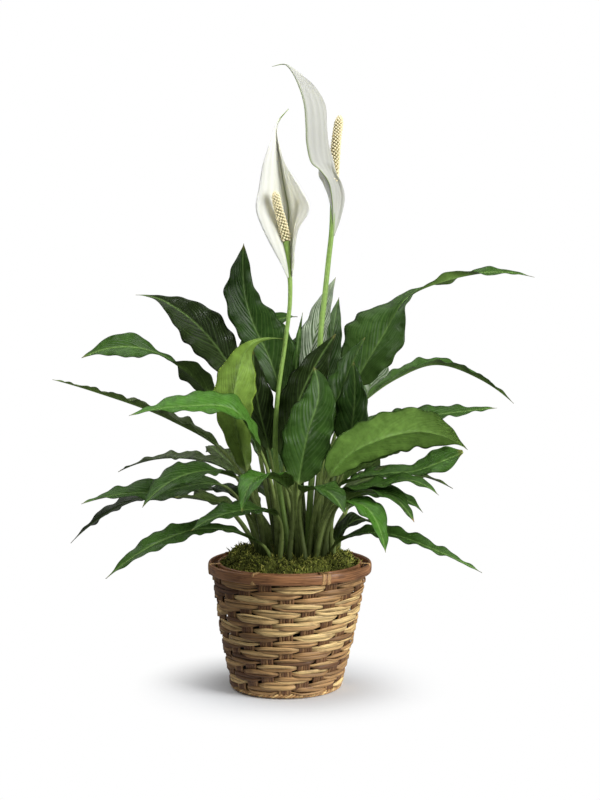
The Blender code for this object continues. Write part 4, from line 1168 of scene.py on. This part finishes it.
def sprig_rings(count, rng):
    """Moss sprigs: short tapered shoots of four rings, rooted all over the bank, leaning outwards and up,
    and bending over as the square of the way along. Their tone drifts in patches about 20 mm across, by a
    product of a sine and a cosine."""
    radius = (MOSS_REACH + 1) * np.sqrt(rng.uniform(0.16, 1, count))
    turn = rng.uniform(0, 2 * math.pi, count)
    x, y = radius * np.cos(turn), radius * np.sin(turn)
    foot = np.stack([x, y, moss_height(x, y) - 1.0], axis=-1)
    lean = rng.normal(0, 1.0, (count, 3)) + np.stack([np.cos(turn), np.sin(turn), 0 * turn], axis=-1) * 0.3
    lean[:, 2] = np.abs(lean[:, 2]) + 0.35
    way = lean / np.linalg.norm(lean, axis=1)[:, None]
    bend = rng.normal(0, 0.9, (count, 3))
    length = rng.uniform(1.1, 3.4, count) * rng.choice([1, 1, 1, 1.7], count)
    s = np.array([0, 0.35, 0.7, 1.0])
    middle = (
        foot[:, None] + way[:, None] * (s * length[:, None])[..., None]
        + bend[:, None] * (s**2 * length[:, None] * 0.5)[..., None]
    )
    side = np.cross(way, [0.3, 0.2, 0.9])
    side /= np.linalg.norm(side, axis=1)[:, None]
    top = np.cross(side, way)
    thick = rng.uniform(0.4, 0.85, count)[:, None] * np.array([0.7, 1.0, 0.8, 0.15])
    angles = np.linspace(0, 2 * math.pi, 4, endpoint=False)
    ring = thick[..., None, None] * (
        np.cos(angles)[:, None] * side[:, None, None] + np.sin(angles)[:, None] * top[:, None, None]
    )
    patch = np.sin(x * 0.33 + 1.2 * np.sin(y * 0.21)) * np.cos(y * 0.37 - 0.9 * np.sin(x * 0.17))
    return middle[:, :, None] + ring, np.clip(rng.uniform(0, 1, count) + 0.6 * patch - 0.2, -0.3, 1), s


class LILY_OT_moss(bpy.types.Operator):
    """Lay the moss round the clump: a dense mat and its sprigs"""

    bl_idname = "peace_lily.moss"
    bl_label = "Moss"

    def execute(self, context):
        sizes, colours = context.scene.lily_sizes, context.scene.lily_colours
        rng = np.random.default_rng(29)
        # Dried sheet moss: matt and fibrous, with tufts about 2 mm across
        material = mottled_material("Sheet moss", 0.9, 0.15, 2.38, 0.0016, 0.35, 1.5)
        bed = moss_bed_rings()
        bed_tint = mixed(colours.moss_dark, colours.moss, np.full(bed.shape[:2], 0.35))
        make_piece("moss_mat", bed, material, "moss", ["moss"], {"tint": bed_tint})
        rings, tone, s = sprig_rings(sizes.moss_sprigs, rng)
        share = np.clip(tone[:, None] * 0.75 + s * 0.45 - 0.1, 0, 1)[..., None] + np.zeros(4)
        tint = mixed(mixed(colours.moss_dark, colours.moss, smooth_step(share * 1.8)), colours.moss_light,
                     smooth_step((share - 0.6) / 0.5))
        make_piece("moss_sprigs", rings, material, "moss", ["moss"], {"tint": tint}, smooth=False)
        return {"FINISHED"}


class LILY_OT_pot(bpy.types.Operator):
    """Finish the hidden grow pot, its potting soil and the root crown"""

    bl_idname = "peace_lily.pot"
    bl_label = "Pot, soil and crown"

    def execute(self, context):
        colours = context.scene.lily_colours
        # Blow-moulded polypropylene: satin black, with the mould's faint grain of half a millimetre
        plastic = mottled_material(
            "Moulded black polypropylene", 0.42, 0.5, 0.5, 0.0001, 0.85, 1.15, tuple(colours.pot)
        )
        # Damp peat: matt crumbs about 2 mm across with pale fibres
        peat = mottled_material("Damp peat mix", 0.95, 0.2, 2.0, 0.0015, 0.4, 1.7, tuple(colours.soil))
        # Fleshy rootstock: dull green-brown scars every 4 mm
        root = mottled_material("Fleshy rootstock", 0.7, 0.3, 4.0, 0.0012, 0.5, 1.3, tuple(colours.root))
        for node, material in (("grow_pot", plastic), ("potting_soil", peat), ("root_crown", root)):
            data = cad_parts[node].data
            data.materials.clear()
            data.materials.append(material)
        return {"FINISHED"}


# ---------------------------------------------------------------- stage


def soft_light(name, place, target, size, power, spread=180):
    """A square softbox that faces its target, its light held to a cone of spread degrees."""
    data = bpy.data.lights.new(name, "AREA")
    data.shape = "SQUARE"
    data.size = size
    data.energy = power
    data.spread = math.radians(spread)
    light = bpy.data.objects.new(name, data)
    light.location = place
    way = np.array(target, float) - np.array(place, float)
    light.rotation_euler = (
        math.atan2(math.hypot(way[0], way[1]), -way[2]), 0, math.atan2(way[1], way[0]) - math.pi / 2
    )
    bpy.context.scene.collection.objects.link(light)


class LILY_OT_stage(bpy.types.Operator):
    """Set the pale floor, the soft studio light and the camera"""

    bl_idname = "peace_lily.stage"
    bl_label = "Stage"

    def execute(self, context):
        colours = context.scene.lily_colours
        scene = context.scene
        scene.view_settings.view_transform = "Standard"
        # Matt paper sweep, which fades to the pale surroundings within 0.2 m of the plant
        paper = {"Base Color": (*colours.floor, 1)}
        material, tree, shader = new_material("Matt paper floor", 0.9, 0.1, paper)
        place = add_node(tree, "TexCoord").outputs["Object"]
        away = add_node(tree, "VectorMath", {0: place}, operation="LENGTH").outputs["Value"]
        fade = add_node(
            tree, "MapRange", {"Value": away, "From Min": 0.055, "From Max": 0.165},
            interpolation_type="SMOOTHSTEP",
        ).outputs["Result"]
        seen = add_node(tree, "LightPath").outputs["Is Camera Ray"]
        power = add_node(tree, "MapRange", {"Value": seen, "To Min": 0.24, "To Max": 1.0}).outputs["Result"]
        glow = add_node(tree, "Emission", {"Color": (1, 1, 1, 1), "Strength": power}).outputs[0]
        blend = add_node(tree, "MixShader", {0: fade, 1: shader.outputs[0], 2: glow}).outputs[0]
        tree.links.new(blend, tree.nodes["Material Output"].inputs["Surface"])
        mesh = bpy.data.meshes.new("studio_floor")
        mesh.from_pydata([(-6, -6, 0), (6, -6, 0), (6, 6, 0), (-6, 6, 0)], [], [(0, 1, 2, 3)])
        mesh.materials.append(material)
        floor = bpy.data.objects.new("studio_floor", mesh)
        floor.location = (0, 0, -0.0005)
        scene.collection.objects.link(floor)

        world = bpy.data.worlds.new("Soft studio")
        scene.world = world
        world.use_nodes = True
        tree = world.node_tree
        ray = add_node(tree, "LightPath").outputs["Is Camera Ray"]
        strength = add_node(tree, "MapRange", {"Value": ray, "To Min": 0.18, "To Max": 1.0}).outputs["Result"]
        backdrop = tree.nodes["Background"]
        backdrop.inputs["Color"].default_value = (1, 1, 1, 1)
        tree.links.new(strength, backdrop.inputs["Strength"])

        soft_light("key_softbox", (1.4, -0.9, 1.0), (0, 0, 0.2), 0.8, 29)
        soft_light("top_softbox", (0, 0, 1.7), (0, 0, 0.2), 1.4, 18)
        soft_light("low_softbox", (1.0, -0.75, 0.3), (0, 0, 0.07), 0.35, 4)
        soft_light("flower_softbox", (-1.1, -0.8, 0.9), (0, -0.02, 0.54), 0.5, 0.4, spread=20)
        soft_light("rear_softbox", (-0.9, 0.7, 1.2), (0, 0, 0.15), 0.9, 5)

        data = bpy.data.cameras.new("camera")
        data.sensor_fit = "VERTICAL"
        data.sensor_height = 24
        data.lens = 48.51
        data.clip_end = 50
        camera = bpy.data.objects.new("camera", data)
        camera.location = (0.0105, -1.6, 0.424)
        camera.rotation_euler = (math.radians(90 - 4.86), 0, 0)
        scene.collection.objects.link(camera)
        scene.camera = camera
        return {"FINISHED"}


OPERATORS = (LILY_OT_leaves, LILY_OT_flowers, LILY_OT_basket, LILY_OT_moss, LILY_OT_pot, LILY_OT_stage)


class LILY_PT_sidebar(bpy.types.Panel):
    """Lists the pieces of the peace lily, with their sizes and colours"""

    bl_idname = "LILY_PT_sidebar"
    bl_label = "Peace Lily"
    bl_space_type = "VIEW_3D"
    bl_region_type = "UI"
    bl_category = "Peace Lily"

    def draw(self, context):
        layout = self.layout
        for operator in OPERATORS:
            layout.operator(operator.bl_idname)
        for group in (context.scene.lily_sizes, context.scene.lily_colours):
            box = layout.box()
            for name in group.__annotations__:
                box.prop(group, name)


CLASSES = (LilySizes, LilyColours, *OPERATORS, LILY_PT_sidebar)


def register():
    for cls in CLASSES:
        bpy.utils.register_class(cls)
    bpy.types.Scene.lily_sizes = bpy.props.PointerProperty(type=LilySizes)
    bpy.types.Scene.lily_colours = bpy.props.PointerProperty(type=LilyColours)


def unregister():
    del bpy.types.Scene.lily_colours
    del bpy.types.Scene.lily_sizes
    for cls in reversed(CLASSES):
        bpy.utils.unregister_class(cls)


def main():
    register()
    for operator in OPERATORS:
        group, name = operator.bl_idname.split(".")
        getattr(getattr(bpy.ops, group), name)()


if __name__ == "__main__":
    main()
